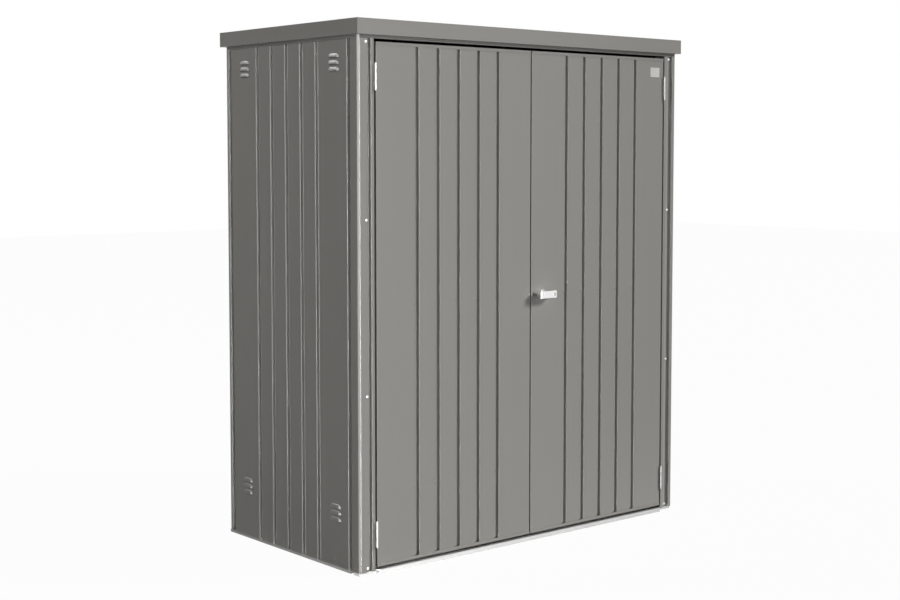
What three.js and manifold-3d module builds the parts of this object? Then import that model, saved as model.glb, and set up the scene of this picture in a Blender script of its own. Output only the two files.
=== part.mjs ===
// Two-door metal garden cabinet, in millimetres: X to the right, Y to the back, Z up.
// The base stands on Z = 0 and the doors face -Y.
import * as THREE from 'three';
import { mergeVertices } from 'three/addons/utils/BufferGeometryUtils.js';
import Module from 'manifold-3d';

const wasm = await Module();
wasm.setup();

// Overall
const roofWidth = 1550;
const roofDepth = 830;
const overallHeight = 1825;
const roofOverhang = 14;
const bodyWidth = roofWidth - 2 * roofOverhang;
const bodyDepth = roofDepth - 2 * roofOverhang;
const sideX = bodyWidth / 2;
const frontY = -bodyDepth / 2;
const rearY = bodyDepth / 2;

// Sheet metal
const skinThickness = 1;
const frameThickness = 1.2;
const railThickness = 1.5;
const foldRadius = 2;
const foldSteps = 2;
const hiddenFoldSteps = 1;
const seatGap = 0.3;
const overrun = 5;
const weldDistance = 0.0001;
const mergeTolerance = 0.001;

// Pressed ribs
const ribPitch = 90;
const ribDepth = 10;
const ribSlant = 3.5;
const wallRibMouth = 18;
const doorRibMouth = 15;
const postRibMouth = 14;
const jointOverlap = 10;

// Base frame and threshold
const baseHeight = 10;
const baseSetback = 9;
const baseRailWidth = 35;
const sideRailInset = 1.3;
const gutterWidth = 30;
const floorLedge = 17;
const thresholdHeight = 14.5;
const thresholdDepth = 18;
const thresholdEndCut = 10;
const thresholdEndGap = 2.8;
const thresholdWall = 2;
const treadGrooveWidth = 1.6;
const treadGrooveDepth = 0.8;
const treadGroovePitch = 4;
const treadGrooves = 3;

// Floor panel
const floorBeadHeight = 4;
const floorBeadWidth = 30;
const floorBeadSlant = 6;
const floorBeadPitch = 200;
const floorBeadMargin = 100;
const floorFrontClearance = 2;

// Corner posts, measured from the body's outer corner
const postTopInRoof = 10;
const postBeadWidth = 9.2;
const ribNotchWidth = 11;
const ribNotchHeight = 5.5;
const ribNotchLap = 2;
const cornerFacet = 14;
const cornerFacetRise = 1.8;
const cornerNose = 7;
const cornerSteps = 3;
const sideRibFromFront = 54.5;
const sideRibFromRear = 29;
const rearRibFromSide = 41;
const leftFrontRibFromSide = 43;
const rightFrontRibFromSide = 28;
const rightFrontRibMouth = 18;
const rightJambNose = 12;
const rightLipDrop = 2.5;
const jambFromSide = 63.2;
const jambDepth = 30;
const doorStopWidth = 18;

// Side walls
const sideFlatMinimum = 150;
const louvreLength = 60;
const louvreHeight = 13;
const louvreProud = 6;
const louvrePitch = 22;
const louvresPerGroup = 3;
const louvreForward = 7;
const louvreFromHeader = 72;
const louvreFromBase = 183;
const louvreSlit = 5;
const louvreSegments = 8;

// Header and top rails
const headerDrop = 11.5;
const headerFlange = 40;
const headerReturn = 10;
const topRailWidth = 30;

// Roof cap
const fasciaHeight = 51.5;
const fasciaReturn = 10;
const deckBeadDepth = 6;
const deckBeadWidth = 24;
const deckBeadSlant = 6;
const deckBeadPitch = 260;
const deckBeadMargin = 60;
const deckBeadEndMargin = 70;
const stiffenerWidth = 40;
const stiffenerHeight = 28;

// Doors
const hingeGap = 7.4;
const centreGap = 5;
const doorBottomZ = 23.5;
const doorTopGap = 9.5;
const doorReturn = 26;
const doorLip = 12;
const doorRibStart = 172;
const doorRibMargin = 120;
const hemHeight = 10.3;
const hemProud = 1.6;
const hemInnerProud = 0.4;
const hemLineWidth = 1.4;
const hemLineDepth = 0.8;
const hemLap = 0.5;
const crossbarFromDoorEnd = 249.5;
const crossbarHeight = 40;
const crossbarDepth = 22.2;
const ribNotchClearance = 1;

// Hinges
const hingeLength = 88;
const hingeFromDoorTop = 113.5;
const hingeFromDoorBottom = 109.5;
const hingeBarrelRadius = 4.5;
const hingePinRadius = 2;
const hingePinClearance = 0.1;
const hingeProud = 5;
const hingeLeafThickness = 1.6;
const hingeLeafDepth = 23;
const hingeLeafSetback = 0.2;
const knuckleShare = 1 / 3;
const pinHeadRadius = 3.2;
const pinHeadHeight = 1.5;
const hingeSegments = 12;

// Handle and lock
const handleFromDoorEdge = 54.5;
const leverLength = 78;
const leverHeight = 28;
const leverThickness = 26;
const leverCornerRadius = 5;
const leverBevel = 2;
const leverWaist = 1;
const roseRadius = 16;
const roseThickness = 4.5;
const roseBevel = 1.5;
const neckRadius = 14;
const neckLength = 6.2;
const barrelRadius = 6;
const barrelFromPivot = 27;
const barrelLength = 24;
const barrelProud = 1;
const keySlotWidth = 1.4;
const keySlotLength = 7;
const keySlotDepth = 4;
const turningGap = 0.3;
const spindleSize = 8;
const spindleReach = 14;
const spindleHoleRadius = 6.5;
const journalRadius = 4;
const roundSegments = 24;

// Rack and pinion that drive the lock rods
const gearModule = 2;
const pinionTeeth = 12;
const pressureAngle = THREE.MathUtils.degToRad(25);
const addendumShare = 0.8;
const dedendumShare = 1;
const backlash = 0.5;
const flankSteps = 2;
const pinionThickness = 6;
const rackTeeth = 5;
const rodWidth = 10;
const rodThickness = 5;
const rodSetback = 11.5;
const rodEndClearance = 2;
const rodHoleClearance = 0.3;
const lockCaseHalfWidth = 30;
const lockCaseHalfHeight = 36;
const lockCaseGap = 1;

// Slide bolts on the left door
const boltWidth = 12;
const boltFromDoorEdge = 27.5;
const boltLength = 280;
const boltKnobRadius = 6;
const boltKnobLength = 16;
const boltKnobFromTip = 130;

// Shelves on slotted uprights
const uprightWidth = 30;
const uprightDepth = 14;
const uprightFromSide = 131;
const uprightTopGap = 60;
const slotWidth = 3.6;
const slotHeight = 13;
const slotPitch = 60;
const slotFirstZ = 400;
const slotTopMargin = 400;
const lowerShelfSlot = 3;
const slotsAboveUpperShelf = 3;
const bracketThickness = 2.5;
const bracketLength = 290;
const bracketRoot = 88;
const bracketTip = 18;
const bracketFlange = 16;
const bracketTabFromTop = 14;
const bracketTabHeight = 9;
const bracketTabReach = 4;
const shelfEndGap = 11.8;
const shelfDepth = 310;
const shelfRearGap = 3;
const shelfEdge = 28;
const shelfEdgeReturn = 10;
const shelfUpstand = 15;

// Heights and counts that follow from the sizes above
const deckUnderZ = overallHeight - frameThickness;
const fasciaBottomZ = overallHeight - fasciaHeight;
const headerBottomZ = fasciaBottomZ - headerDrop;
const wallTopZ = headerBottomZ - seatGap;
const doorTopZ = headerBottomZ - doorTopGap;
const crossbarLowerZ = doorBottomZ + crossbarFromDoorEnd;
const crossbarUpperZ = doorTopZ - crossbarFromDoorEnd;
const crossbarMiddleZ = (doorBottomZ + doorTopZ) / 2;
const handleZ = crossbarMiddleZ;
const hingeUpperZ = doorTopZ - hingeFromDoorTop;
const hingeLowerZ = doorBottomZ + hingeFromDoorBottom;
const louvreUpperZ = headerBottomZ - louvreFromHeader;
const louvreLowerZ = baseHeight + louvreFromBase;
const uprightTopZ = headerBottomZ - uprightTopGap;
const slotCount = Math.floor((uprightTopZ - slotFirstZ - slotTopMargin) / slotPitch) + 1;
const upperShelfSlot = slotCount - 1 - slotsAboveUpperShelf;
const uprightX = Math.round((sideX - uprightFromSide) / ribPitch) * ribPitch;
const jambX = sideX - jambFromSide;
const thresholdHalfLength = jambX - thresholdEndGap;

// Materials
function metal(color, roughness, metalness) {
  return new THREE.MeshStandardMaterial({ color, roughness, metalness });
}

const paintedSteel = metal(0x8f8e8a, 0.5, 0.35);
const aluminium = metal(0xc9c9c7, 0.4, 0.9);
const stainless = metal(0xd8d7d3, 0.25, 1);
const satinChrome = metal(0xe4e2e4, 0.2, 1);
const galvanised = metal(0xaeb1b2, 0.5, 0.8);
const nickel = metal(0xd9d6d0, 0.25, 1);

// Geometry helpers
const unitX = new THREE.Vector3(1, 0, 0);
const unitY = new THREE.Vector3(0, 1, 0);
const unitZ = new THREE.Vector3(0, 0, 1);

function point(x, y) {
  return new THREE.Vector2(x, y);
}

// Extrudes an outline along an axis: outlines are (y, z) along x, (x, z) along y and (x, y) along z
function extrude(outline, axis, from, to) {
  const geometry = new THREE.ExtrudeGeometry(new THREE.Shape(outline), { bevelEnabled: false });
  const position = geometry.attributes.position;
  for (let i = 0; i < position.count; i += 1) {
    const u = position.getX(i);
    const v = position.getY(i);
    const far = position.getZ(i) > 0;
    if (axis === 'x') position.setXYZ(i, far ? to : from, u, v);
    if (axis === 'y') position.setXYZ(i, u, far ? from : to, v);
    if (axis === 'z') position.setXYZ(i, u, v, far ? to : from);
  }
  return geometry;
}

function block(low, high) {
  const rectangle = [
    point(low[0], low[1]),
    point(high[0], low[1]),
    point(high[0], high[1]),
    point(low[0], high[1]),
  ];
  return extrude(rectangle, 'z', low[2], high[2]);
}

// A cylinder along an axis through (u, v), the two other coordinates in order
function cylinder(radius, axis, u, v, from, to, segments) {
  const geometry = new THREE.CylinderGeometry(radius, radius, to - from, segments);
  const middle = (from + to) / 2;
  if (axis === 'x') geometry.rotateZ(Math.PI / 2).translate(middle, u, v);
  if (axis === 'y') geometry.translate(u, middle, v);
  if (axis === 'z') geometry.rotateX(Math.PI / 2).translate(u, v, middle);
  return geometry;
}

function toSolid(geometry) {
  const bare = geometry.clone();
  bare.deleteAttribute('normal');
  bare.deleteAttribute('uv');
  const welded = mergeVertices(bare, weldDistance);
  return new wasm.Manifold(new wasm.Mesh({
    numProp: 3,
    vertProperties: Float32Array.from(welded.attributes.position.array),
    triVerts: Uint32Array.from(welded.index.array),
  }));
}

function fromSolid(solid) {
  const mesh = solid.simplify(mergeTolerance).getMesh();
  const geometry = new THREE.BufferGeometry();
  geometry.setAttribute('position', new THREE.BufferAttribute(mesh.vertProperties, mesh.numProp));
  geometry.setIndex(new THREE.BufferAttribute(mesh.triVerts, 1));
  return geometry;
}

// Joins some geometries and cuts others away
function combine(joined, cut = []) {
  let solid = toSolid(joined[0]);
  for (const geometry of joined.slice(1)) solid = solid.add(toSolid(geometry));
  for (const geometry of cut) solid = solid.subtract(toSolid(geometry));
  return fromSolid(solid);
}

function mirrorX(geometry) {
  const copy = geometry.clone();
  if (!copy.index) {
    const count = copy.attributes.position.count;
    copy.setIndex([...Array(count).keys()]);
  }
  copy.scale(-1, 1, 1);
  const index = Array.from(copy.index.array);
  for (let i = 0; i < index.length; i += 3) [index[i], index[i + 1]] = [index[i + 1], index[i]];
  copy.setIndex(index);
  return copy;
}

// Replaces each inner corner of an open path by an arc
function roundFolds(path, radius = foldRadius, steps = foldSteps) {
  const rounded = [path[0]];
  for (let i = 1; i < path.length - 1; i += 1) {
    const inward = path[i].clone().sub(path[i - 1]);
    const outward = path[i + 1].clone().sub(path[i]);
    const room = Math.min(inward.length(), outward.length()) / 2;
    inward.normalize();
    outward.normalize();
    const turn = Math.atan2(inward.cross(outward), inward.dot(outward));
    const tangent = Math.min(radius * Math.tan(Math.abs(turn) / 2), room);
    const bend = tangent / Math.tan(Math.abs(turn) / 2) * Math.sign(turn);
    const start = path[i].clone().addScaledVector(inward, -tangent);
    const centre = point(start.x - inward.y * bend, start.y + inward.x * bend);
    for (let k = 0; k <= steps; k += 1) {
      rounded.push(start.clone().rotateAround(centre, turn * k / steps));
    }
  }
  rounded.push(path[path.length - 1]);
  return rounded;
}

// The closed outline of a folded sheet: the path is its outer face and the sheet lies to its left
function sheetOutline(path, thickness) {
  const last = path.length - 1;
  const inner = path.map((corner, i) => {
    const before = path[Math.max(i, 1)].clone().sub(path[Math.max(i, 1) - 1]).normalize();
    const after = path[Math.min(i, last - 1) + 1].clone().sub(path[Math.min(i, last - 1)]).normalize();
    const mitre = point(-before.y - after.y, before.x + after.x).normalize();
    const stretch = thickness / (mitre.x * -after.y + mitre.y * after.x);
    return corner.clone().addScaledVector(mitre, stretch);
  });
  return [...path, ...inner.reverse()];
}

// The four fold points of a rib whose centre is at s
function rib(s, mouth) {
  return [
    point(s - mouth / 2, 0),
    point(s - mouth / 2 + ribSlant, ribDepth),
    point(s + mouth / 2 - ribSlant, ribDepth),
    point(s + mouth / 2, 0),
  ];
}

// A panel's end that drops onto the neighbour's joint floor, and one that carries a joint floor
const dropDepth = ribDepth - skinThickness / 2 - seatGap;
const dropRun = ribSlant * dropDepth / ribDepth;

function dropStart(s, mouth) {
  return [point(s + mouth / 2 - dropRun, dropDepth), point(s + mouth / 2, 0)];
}

function dropEnd(s, mouth) {
  return [point(s - mouth / 2, 0), point(s - mouth / 2 + dropRun, dropDepth)];
}

function jointFloor(s, mouth) {
  return [
    point(s - mouth / 2, 0),
    point(s - mouth / 2 + ribSlant, ribDepth),
    point(s + mouth / 2 + jointOverlap, ribDepth),
  ];
}

// Corner posts in (inward from the side, inward from the front or rear face)
const postTopZ = overallHeight - frameThickness - postTopInRoof;

function swap(corner) {
  return point(corner.y, corner.x);
}

function cornerNosePath() {
  const facetEnd = point(cornerFacetRise, cornerNose);
  const noseEnd = point(cornerNose, 0);
  const control = point(cornerFacetRise + (cornerFacetRise * cornerNose) / (cornerFacet - cornerNose), 0);
  const nose = new THREE.QuadraticBezierCurve(facetEnd, control, noseEnd);
  return [point(0, cornerFacet), ...nose.getPoints(cornerSteps)];
}

function postOutline(sideRib, faceRib, faceEnd) {
  const sideLeg = jointFloor(sideRib, wallRibMouth).map(swap).reverse();
  const sideFolds = roundFolds([...sideLeg, point(0, cornerFacet)]).slice(0, -1);
  const faceFolds = roundFolds([point(cornerNose, 0), ...faceRib, ...faceEnd]).slice(1);
  return sheetOutline([...sideFolds, ...cornerNosePath(), ...faceFolds], frameThickness);
}

// Places a post outline at a corner of the body and extrudes it up the post
function placePost(outline, sideSign, faceSign) {
  const corners = outline.map((corner) => point(
    sideSign * (sideX - corner.x),
    faceSign * (rearY - corner.y),
  ));
  return extrude(corners, 'z', baseHeight, postTopZ);
}

// The space over a post that the top rails need: only the corner bead runs on up into the roof
function aboveHeader(sideSign, faceSign) {
  const corner = (inward, back, z) => [sideSign * (sideX - inward), faceSign * (rearY - back), z];
  const between = (one, other) => block(
    one.map((value, i) => Math.min(value, other[i])),
    one.map((value, i) => Math.max(value, other[i])),
  );
  const low = headerBottomZ - seatGap;
  const high = postTopZ + overrun;
  return [
    between(corner(postBeadWidth, -overrun, low), corner(sideX, rearY, high)),
    between(corner(-overrun, cornerFacet, low), corner(sideX, rearY, high)),
  ];
}

// The tapered nick beside a front rib's left lip, where the rib runs out at a height
function ribNotch(lipX, z) {
  return extrude([
    point(lipX - ribNotchWidth, z),
    point(lipX + ribNotchLap, z),
    point(lipX + ribNotchLap, z + ribNotchHeight),
  ], 'y', frontY - overrun, frontY + ribDepth / 2);
}

// With a lip drop, the strip between the rib and the jamb's nose slopes down towards the rib
function frontPost(sideSign, ribFromSide, ribMouth, lipDrop) {
  const face = rib(ribFromSide, ribMouth);
  if (lipDrop > 0) {
    face[face.length - 1].y = lipDrop;
    face.push(point(jambFromSide - rightJambNose, 0));
  }
  const jamb = [
    point(jambFromSide, 0),
    point(jambFromSide, jambDepth),
    point(jambFromSide + doorStopWidth, jambDepth),
  ];
  const outline = postOutline(sideRibFromFront, face, jamb);
  const lipX = sideX - ribFromSide - sideSign * ribMouth / 2;
  const notch = ribNotch(sideSign * lipX, baseHeight);
  return combine([placePost(outline, sideSign, -1)], [notch, ...aboveHeader(sideSign, -1)]);
}

function rearPost(sideSign) {
  const floor = jointFloor(rearRibFromSide, wallRibMouth);
  const outline = postOutline(sideRibFromRear, floor, []);
  return combine([placePost(outline, sideSign, 1)], aboveHeader(sideSign, 1));
}

// Side wall, in (along the wall from the front face, inward depth), with its pressed louvres
const lastSideRib = bodyDepth - sideRibFromRear;
const sideRibSpan = lastSideRib - sideRibFromFront - 2 * sideFlatMinimum;
const sideInnerRibs = Math.floor(sideRibSpan / ribPitch) + 1;
const wideFlat = (lastSideRib - sideRibFromFront - (sideInnerRibs - 1) * ribPitch) / 2;

function sideRibAt(i) {
  return sideRibFromFront + wideFlat + i * ribPitch;
}

// A louvre is a quarter of a capsule, pressed out of the wall and open below
function louvreHood(radiusOut, radiusUp, halfLength) {
  const straight = halfLength - radiusUp;
  const capsule = new THREE.CapsuleGeometry(radiusUp, 2 * straight, 2, louvreSegments);
  capsule.scale(radiusOut / radiusUp, 1, 1);
  return capsule;
}

function louvreParts(y, z) {
  const outer = toSolid(louvreHood(louvreProud, louvreHeight, louvreLength / 2));
  const inner = toSolid(louvreHood(
    louvreProud - skinThickness,
    louvreHeight - skinThickness,
    louvreLength / 2 - skinThickness,
  ));
  const reach = louvreLength;
  const keep = toSolid(block([-reach, -reach, 0], [skinThickness / 2, reach, reach]));
  const hood = outer.subtract(inner).intersect(keep);
  const slit = toSolid(block(
    [-overrun, -(louvreLength / 2 - louvreHeight / 2), -skinThickness],
    [overrun, louvreLength / 2 - louvreHeight / 2, louvreSlit],
  ));
  const place = [-sideX + skinThickness / 2, y, z - louvreHeight / 2];
  return { hood: hood.translate(place), slit: slit.translate(place), inner: inner.translate(place) };
}

function leftSideWall() {
  const ribs = [];
  for (let i = 0; i < sideInnerRibs; i += 1) ribs.push(...rib(sideRibAt(i), wallRibMouth));
  const path = roundFolds([
    ...dropStart(sideRibFromFront, wallRibMouth),
    ...ribs,
    ...dropEnd(lastSideRib, wallRibMouth),
  ]);
  const outline = sheetOutline(path, skinThickness).map((corner) => point(
    -sideX + corner.y,
    frontY + corner.x,
  ));
  let wall = toSolid(extrude(outline, 'z', baseHeight, wallTopZ));
  const flatCentres = [
    (sideRibFromFront + sideRibAt(0)) / 2,
    (sideRibAt(sideInnerRibs - 1) + lastSideRib) / 2,
  ];
  for (const centre of flatCentres) {
    for (const groupZ of [louvreUpperZ, louvreLowerZ]) {
      for (let i = 0; i < louvresPerGroup; i += 1) {
        const z = groupZ + (i - (louvresPerGroup - 1) / 2) * louvrePitch;
        const { hood, slit } = louvreParts(frontY + centre - louvreForward, z);
        wall = wall.subtract(slit).add(hood);
      }
    }
  }
  return fromSolid(wall);
}

// Rear panels, in (from the body's left side, inward depth), joined at the middle
const rearSeam = sideX;

function rearRibPoints(from, to) {
  const points = [];
  const firstRib = Math.ceil((from - rearSeam) / ribPitch);
  for (let k = firstRib; rearSeam + k * ribPitch < to; k += 1) {
    points.push(...rib(rearSeam + k * ribPitch, wallRibMouth));
  }
  return points;
}

function rearPanel(path) {
  const folded = roundFolds(path, foldRadius, hiddenFoldSteps);
  const outline = sheetOutline(folded, skinThickness).map((corner) => point(
    -sideX + corner.x,
    rearY - corner.y,
  ));
  return extrude(outline, 'z', baseHeight, wallTopZ);
}

function leftRearPanel() {
  return rearPanel([
    ...dropStart(rearRibFromSide, wallRibMouth),
    ...rearRibPoints(rearRibFromSide + ribPitch / 2, rearSeam - ribPitch / 2),
    ...jointFloor(rearSeam, wallRibMouth),
  ]);
}

function rightRearPanel() {
  const rightJoint = bodyWidth - rearRibFromSide;
  return rearPanel([
    ...dropStart(rearSeam, wallRibMouth),
    ...rearRibPoints(rearSeam + ribPitch / 2, rightJoint - ribPitch / 2),
    ...dropEnd(rightJoint, wallRibMouth),
  ]);
}

// Base rails: aluminium sections whose outer faces stay inside the wall sheets
const gutterFrontY = frontY + baseSetback;
const gutterRearY = gutterFrontY + gutterWidth;
const ledgeRearY = gutterRearY + floorLedge;
const railSideX = sideX - sideRailInset;
const railRearY = rearY - railThickness;

function frontBaseRail() {
  const path = [
    point(gutterFrontY, baseHeight),
    point(gutterFrontY, 0),
    point(gutterRearY, 0),
    point(gutterRearY, baseHeight - railThickness),
    point(ledgeRearY, baseHeight - railThickness),
  ];
  const gutter = extrude(sheetOutline(path, railThickness), 'x', -railSideX, railSideX);
  const leftCap = block(
    [-railSideX, gutterFrontY, 0],
    [-railSideX + railThickness, gutterRearY, baseHeight],
  );
  return combine([gutter, leftCap, mirrorX(leftCap)]);
}

function leftBaseRail() {
  const innerX = -railSideX + baseRailWidth;
  const path = [
    point(innerX, baseHeight),
    point(-railSideX, baseHeight),
    point(-railSideX, 0),
    point(innerX, 0),
  ];
  return extrude(sheetOutline(path, railThickness), 'y', ledgeRearY + seatGap, railRearY);
}

function rearBaseRail() {
  const innerY = railRearY - baseRailWidth;
  const path = [
    point(innerY, 0),
    point(railRearY, 0),
    point(railRearY, baseHeight),
    point(innerY, baseHeight),
  ];
  const reach = railSideX - baseRailWidth - seatGap;
  return extrude(sheetOutline(path, railThickness), 'x', -reach, reach);
}

// Threshold: a hollow nose section with tread grooves, its ends cut back towards the front
function threshold() {
  const rear = gutterFrontY - seatGap;
  const front = rear - thresholdDepth;
  const chamfer = thresholdWall;
  const section = [
    point(rear, 0),
    point(rear, thresholdHeight),
    point(front + chamfer, thresholdHeight),
    point(front, thresholdHeight - chamfer),
    point(front, 0),
    point(front + thresholdWall, 0),
    point(front + thresholdWall, thresholdHeight - 2 * chamfer),
    point(front + 2 * thresholdWall, thresholdHeight - thresholdWall),
    point(rear - thresholdWall, thresholdHeight - thresholdWall),
    point(rear - thresholdWall, 0),
  ];
  const nose = extrude(section, 'x', -thresholdHalfLength, thresholdHalfLength);
  const endCut = extrude([
    point(-thresholdHalfLength - overrun, rear),
    point(-thresholdHalfLength, rear),
    point(-thresholdHalfLength + thresholdEndCut, front),
    point(-thresholdHalfLength + thresholdEndCut, front - overrun),
    point(-thresholdHalfLength - overrun, front - overrun),
  ], 'z', -overrun, thresholdHeight + overrun);
  const grooves = [];
  for (let i = 0; i < treadGrooves; i += 1) {
    const y = rear - thresholdWall - (i + 1) * treadGroovePitch;
    grooves.push(block(
      [-thresholdHalfLength - overrun, y - treadGrooveWidth / 2, thresholdHeight - treadGrooveDepth],
      [thresholdHalfLength + overrun, y + treadGrooveWidth / 2, thresholdHeight + overrun],
    ));
  }
  return combine([nose], [endCut, mirrorX(endCut), ...grooves]);
}

// Floor panel: a flat sheet with raised beads that run front to back
const wallInnerX = sideX - ribDepth - frameThickness;
const wallInnerY = rearY - ribDepth - skinThickness;

function beadPath(centre, z, width, slant, rise) {
  return [
    point(centre - width / 2, z),
    point(centre - width / 2 + slant, z + rise),
    point(centre + width / 2 - slant, z + rise),
    point(centre + width / 2, z),
  ];
}

function floorPanel() {
  const reach = wallInnerX - skinThickness;
  const path = [point(-reach, baseHeight)];
  const floorBeads = 2 * Math.floor((reach - floorBeadMargin) / floorBeadPitch) + 1;
  for (let i = 0; i < floorBeads; i += 1) {
    const centre = (i - (floorBeads - 1) / 2) * floorBeadPitch;
    path.push(...beadPath(centre, baseHeight, floorBeadWidth, floorBeadSlant, floorBeadHeight));
  }
  path.push(point(reach, baseHeight));
  const front = gutterRearY + floorFrontClearance;
  return extrude(sheetOutline(path, frameThickness), 'y', front, wallInnerY - skinThickness);
}

// Header and top rails: channels flush with the walls that carry the roof deck
const topRailReach = sideX - postBeadWidth - seatGap;
const headerRearY = frontY + headerFlange;
const rearRailFrontY = rearY - topRailWidth;

function headerRail() {
  const path = roundFolds([
    point(headerRearY, deckUnderZ),
    point(frontY, deckUnderZ),
    point(frontY, headerBottomZ),
    point(frontY + headerReturn, headerBottomZ),
  ]);
  return extrude(sheetOutline(path, frameThickness), 'x', -topRailReach, topRailReach);
}

function rearTopRail() {
  const path = roundFolds([
    point(rearY - headerReturn, headerBottomZ),
    point(rearY, headerBottomZ),
    point(rearY, deckUnderZ),
    point(rearRailFrontY, deckUnderZ),
  ]);
  return extrude(sheetOutline(path, frameThickness), 'x', -topRailReach, topRailReach);
}

const betweenRailsFront = headerRearY + seatGap;
const betweenRailsRear = rearRailFrontY - seatGap;

// A side rail's flanges are cut away where the header and the rear rail run across it
function leftTopRail() {
  const path = roundFolds([
    point(-sideX + topRailWidth, deckUnderZ),
    point(-sideX, deckUnderZ),
    point(-sideX, headerBottomZ),
    point(-sideX + headerReturn, headerBottomZ),
  ]);
  const reach = rearY - cornerFacet - seatGap;
  const rail = extrude(sheetOutline(path, frameThickness), 'y', -reach, reach);
  const low = [-topRailReach - seatGap, -rearY, headerBottomZ - overrun];
  const high = [0, rearY, deckUnderZ + overrun];
  return combine([rail], [
    block(low, [high[0], betweenRailsFront, high[2]]),
    block([low[0], betweenRailsRear, low[2]], high),
  ]);
}

function roofStiffener() {
  const path = roundFolds([
    point(stiffenerWidth / 2, deckUnderZ),
    point(-stiffenerWidth / 2, deckUnderZ),
    point(-stiffenerWidth / 2, deckUnderZ - stiffenerHeight),
    point(stiffenerWidth / 2, deckUnderZ - stiffenerHeight),
  ]);
  const outline = sheetOutline(path, frameThickness);
  return extrude(outline, 'y', betweenRailsFront, betweenRailsRear);
}

// Roof cap: a tray with a fascia, an inward return at its lower edge and beads in the deck
function roofCap() {
  const outX = roofWidth / 2;
  const outY = roofDepth / 2;
  const inX = outX - frameThickness;
  const inY = outY - frameThickness;
  const shell = block([-outX, -outY, fasciaBottomZ], [outX, outY, overallHeight]);
  const cavity = block([-inX, -inY, fasciaBottomZ + frameThickness], [inX, inY, deckUnderZ]);
  const mouth = block(
    [-inX + fasciaReturn, -inY + fasciaReturn, fasciaBottomZ - overrun],
    [inX - fasciaReturn, inY - fasciaReturn, fasciaBottomZ + 2 * frameThickness],
  );
  let roof = toSolid(shell).subtract(toSolid(cavity)).subtract(toSolid(mouth));
  const beadEnd = outY - deckBeadEndMargin;
  const deckBeads = 2 * Math.round((outX - deckBeadMargin) / deckBeadPitch);
  for (let i = 0; i < deckBeads; i += 1) {
    const centre = (i - (deckBeads - 1) / 2) * deckBeadPitch;
    const under = beadPath(centre, deckUnderZ, deckBeadWidth, deckBeadSlant, -deckBeadDepth);
    const over = beadPath(
      centre, overallHeight, deckBeadWidth - frameThickness, deckBeadSlant, -deckBeadDepth,
    );
    const lift = (corner) => point(corner.x, corner.y + frameThickness / 2);
    under[0] = lift(under[0]);
    under[3] = lift(under[3]);
    over.push(point(over[3].x, overallHeight + overrun), point(over[0].x, overallHeight + overrun));
    const inset = beadEnd - frameThickness;
    roof = roof.add(toSolid(extrude(under, 'y', -beadEnd, beadEnd)));
    roof = roof.subtract(toSolid(extrude(over, 'y', -inset, inset)));
  }
  return fromSolid(roof);
}

// Doors, in (from the door's left edge, inward depth)
const doorOuterX = jambX - hingeGap;
const doorInnerX = centreGap / 2;
const doorWidth = doorOuterX - doorInnerX;
const doorRibs = Math.floor((doorWidth - doorRibStart - doorRibMargin) / ribPitch) + 1;
const rodFrontY = frontY + rodSetback;
const rodRearY = rodFrontY + rodThickness;

function doorRibAt(i) {
  return doorRibStart + i * ribPitch;
}

// The cut that lets a rod or bolt through, over a span of heights
function rodHole(x, width, fromZ, toZ) {
  return block(
    [x - width / 2 - rodHoleClearance, rodFrontY - rodHoleClearance, fromZ],
    [x + width / 2 + rodHoleClearance, rodRearY + rodHoleClearance, toZ],
  );
}

function doorSkin(leftX, cuts) {
  const folds = [point(doorLip, doorReturn), point(0, doorReturn), point(0, 0)];
  for (let i = 0; i < doorRibs; i += 1) folds.push(...rib(doorRibAt(i), doorRibMouth));
  folds.push(point(doorWidth, 0), point(doorWidth, doorReturn), point(doorWidth - doorLip, doorReturn));
  const outline = sheetOutline(roundFolds(folds), skinThickness).map((corner) => point(
    leftX + corner.x,
    frontY + corner.y,
  ));
  const skin = extrude(outline, 'z', doorBottomZ, doorTopZ);
  const joined = [skin];
  const hemCuts = [];
  for (const [edgeZ, up] of [[doorBottomZ, 1], [doorTopZ, -1]]) {
    const span = (from, to) => {
      const heights = [edgeZ + up * from, edgeZ + up * to];
      return [Math.min(...heights), Math.max(...heights)];
    };
    const hem = [
      point(frontY + hemLap, edgeZ),
      point(frontY - hemProud, edgeZ),
      point(frontY - hemInnerProud, edgeZ + up * hemHeight),
      point(frontY + hemLap, edgeZ + up * hemHeight),
    ];
    const [webLow, webHigh] = span(0, frameThickness);
    const [lipLow, lipHigh] = span(0, doorLip);
    const [lineLow, lineHigh] = span(hemHeight, hemHeight + hemLineWidth);
    joined.push(extrude(up > 0 ? hem.reverse() : hem, 'x', leftX, leftX + doorWidth));
    joined.push(block([leftX, frontY, webLow], [leftX + doorWidth, frontY + doorReturn, webHigh]));
    joined.push(block(
      [leftX, frontY + doorReturn - skinThickness, lipLow],
      [leftX + doorWidth, frontY + doorReturn, lipHigh],
    ));
    hemCuts.push(block(
      [leftX - overrun, frontY - overrun, lineLow],
      [leftX + doorWidth + overrun, frontY + hemLineDepth, lineHigh],
    ));
  }
  for (let i = 0; i < doorRibs; i += 1) {
    hemCuts.push(ribNotch(leftX + doorRibAt(i) - doorRibMouth / 2, doorBottomZ + hemHeight));
  }
  return combine(joined, [...hemCuts, ...cuts]);
}

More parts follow.
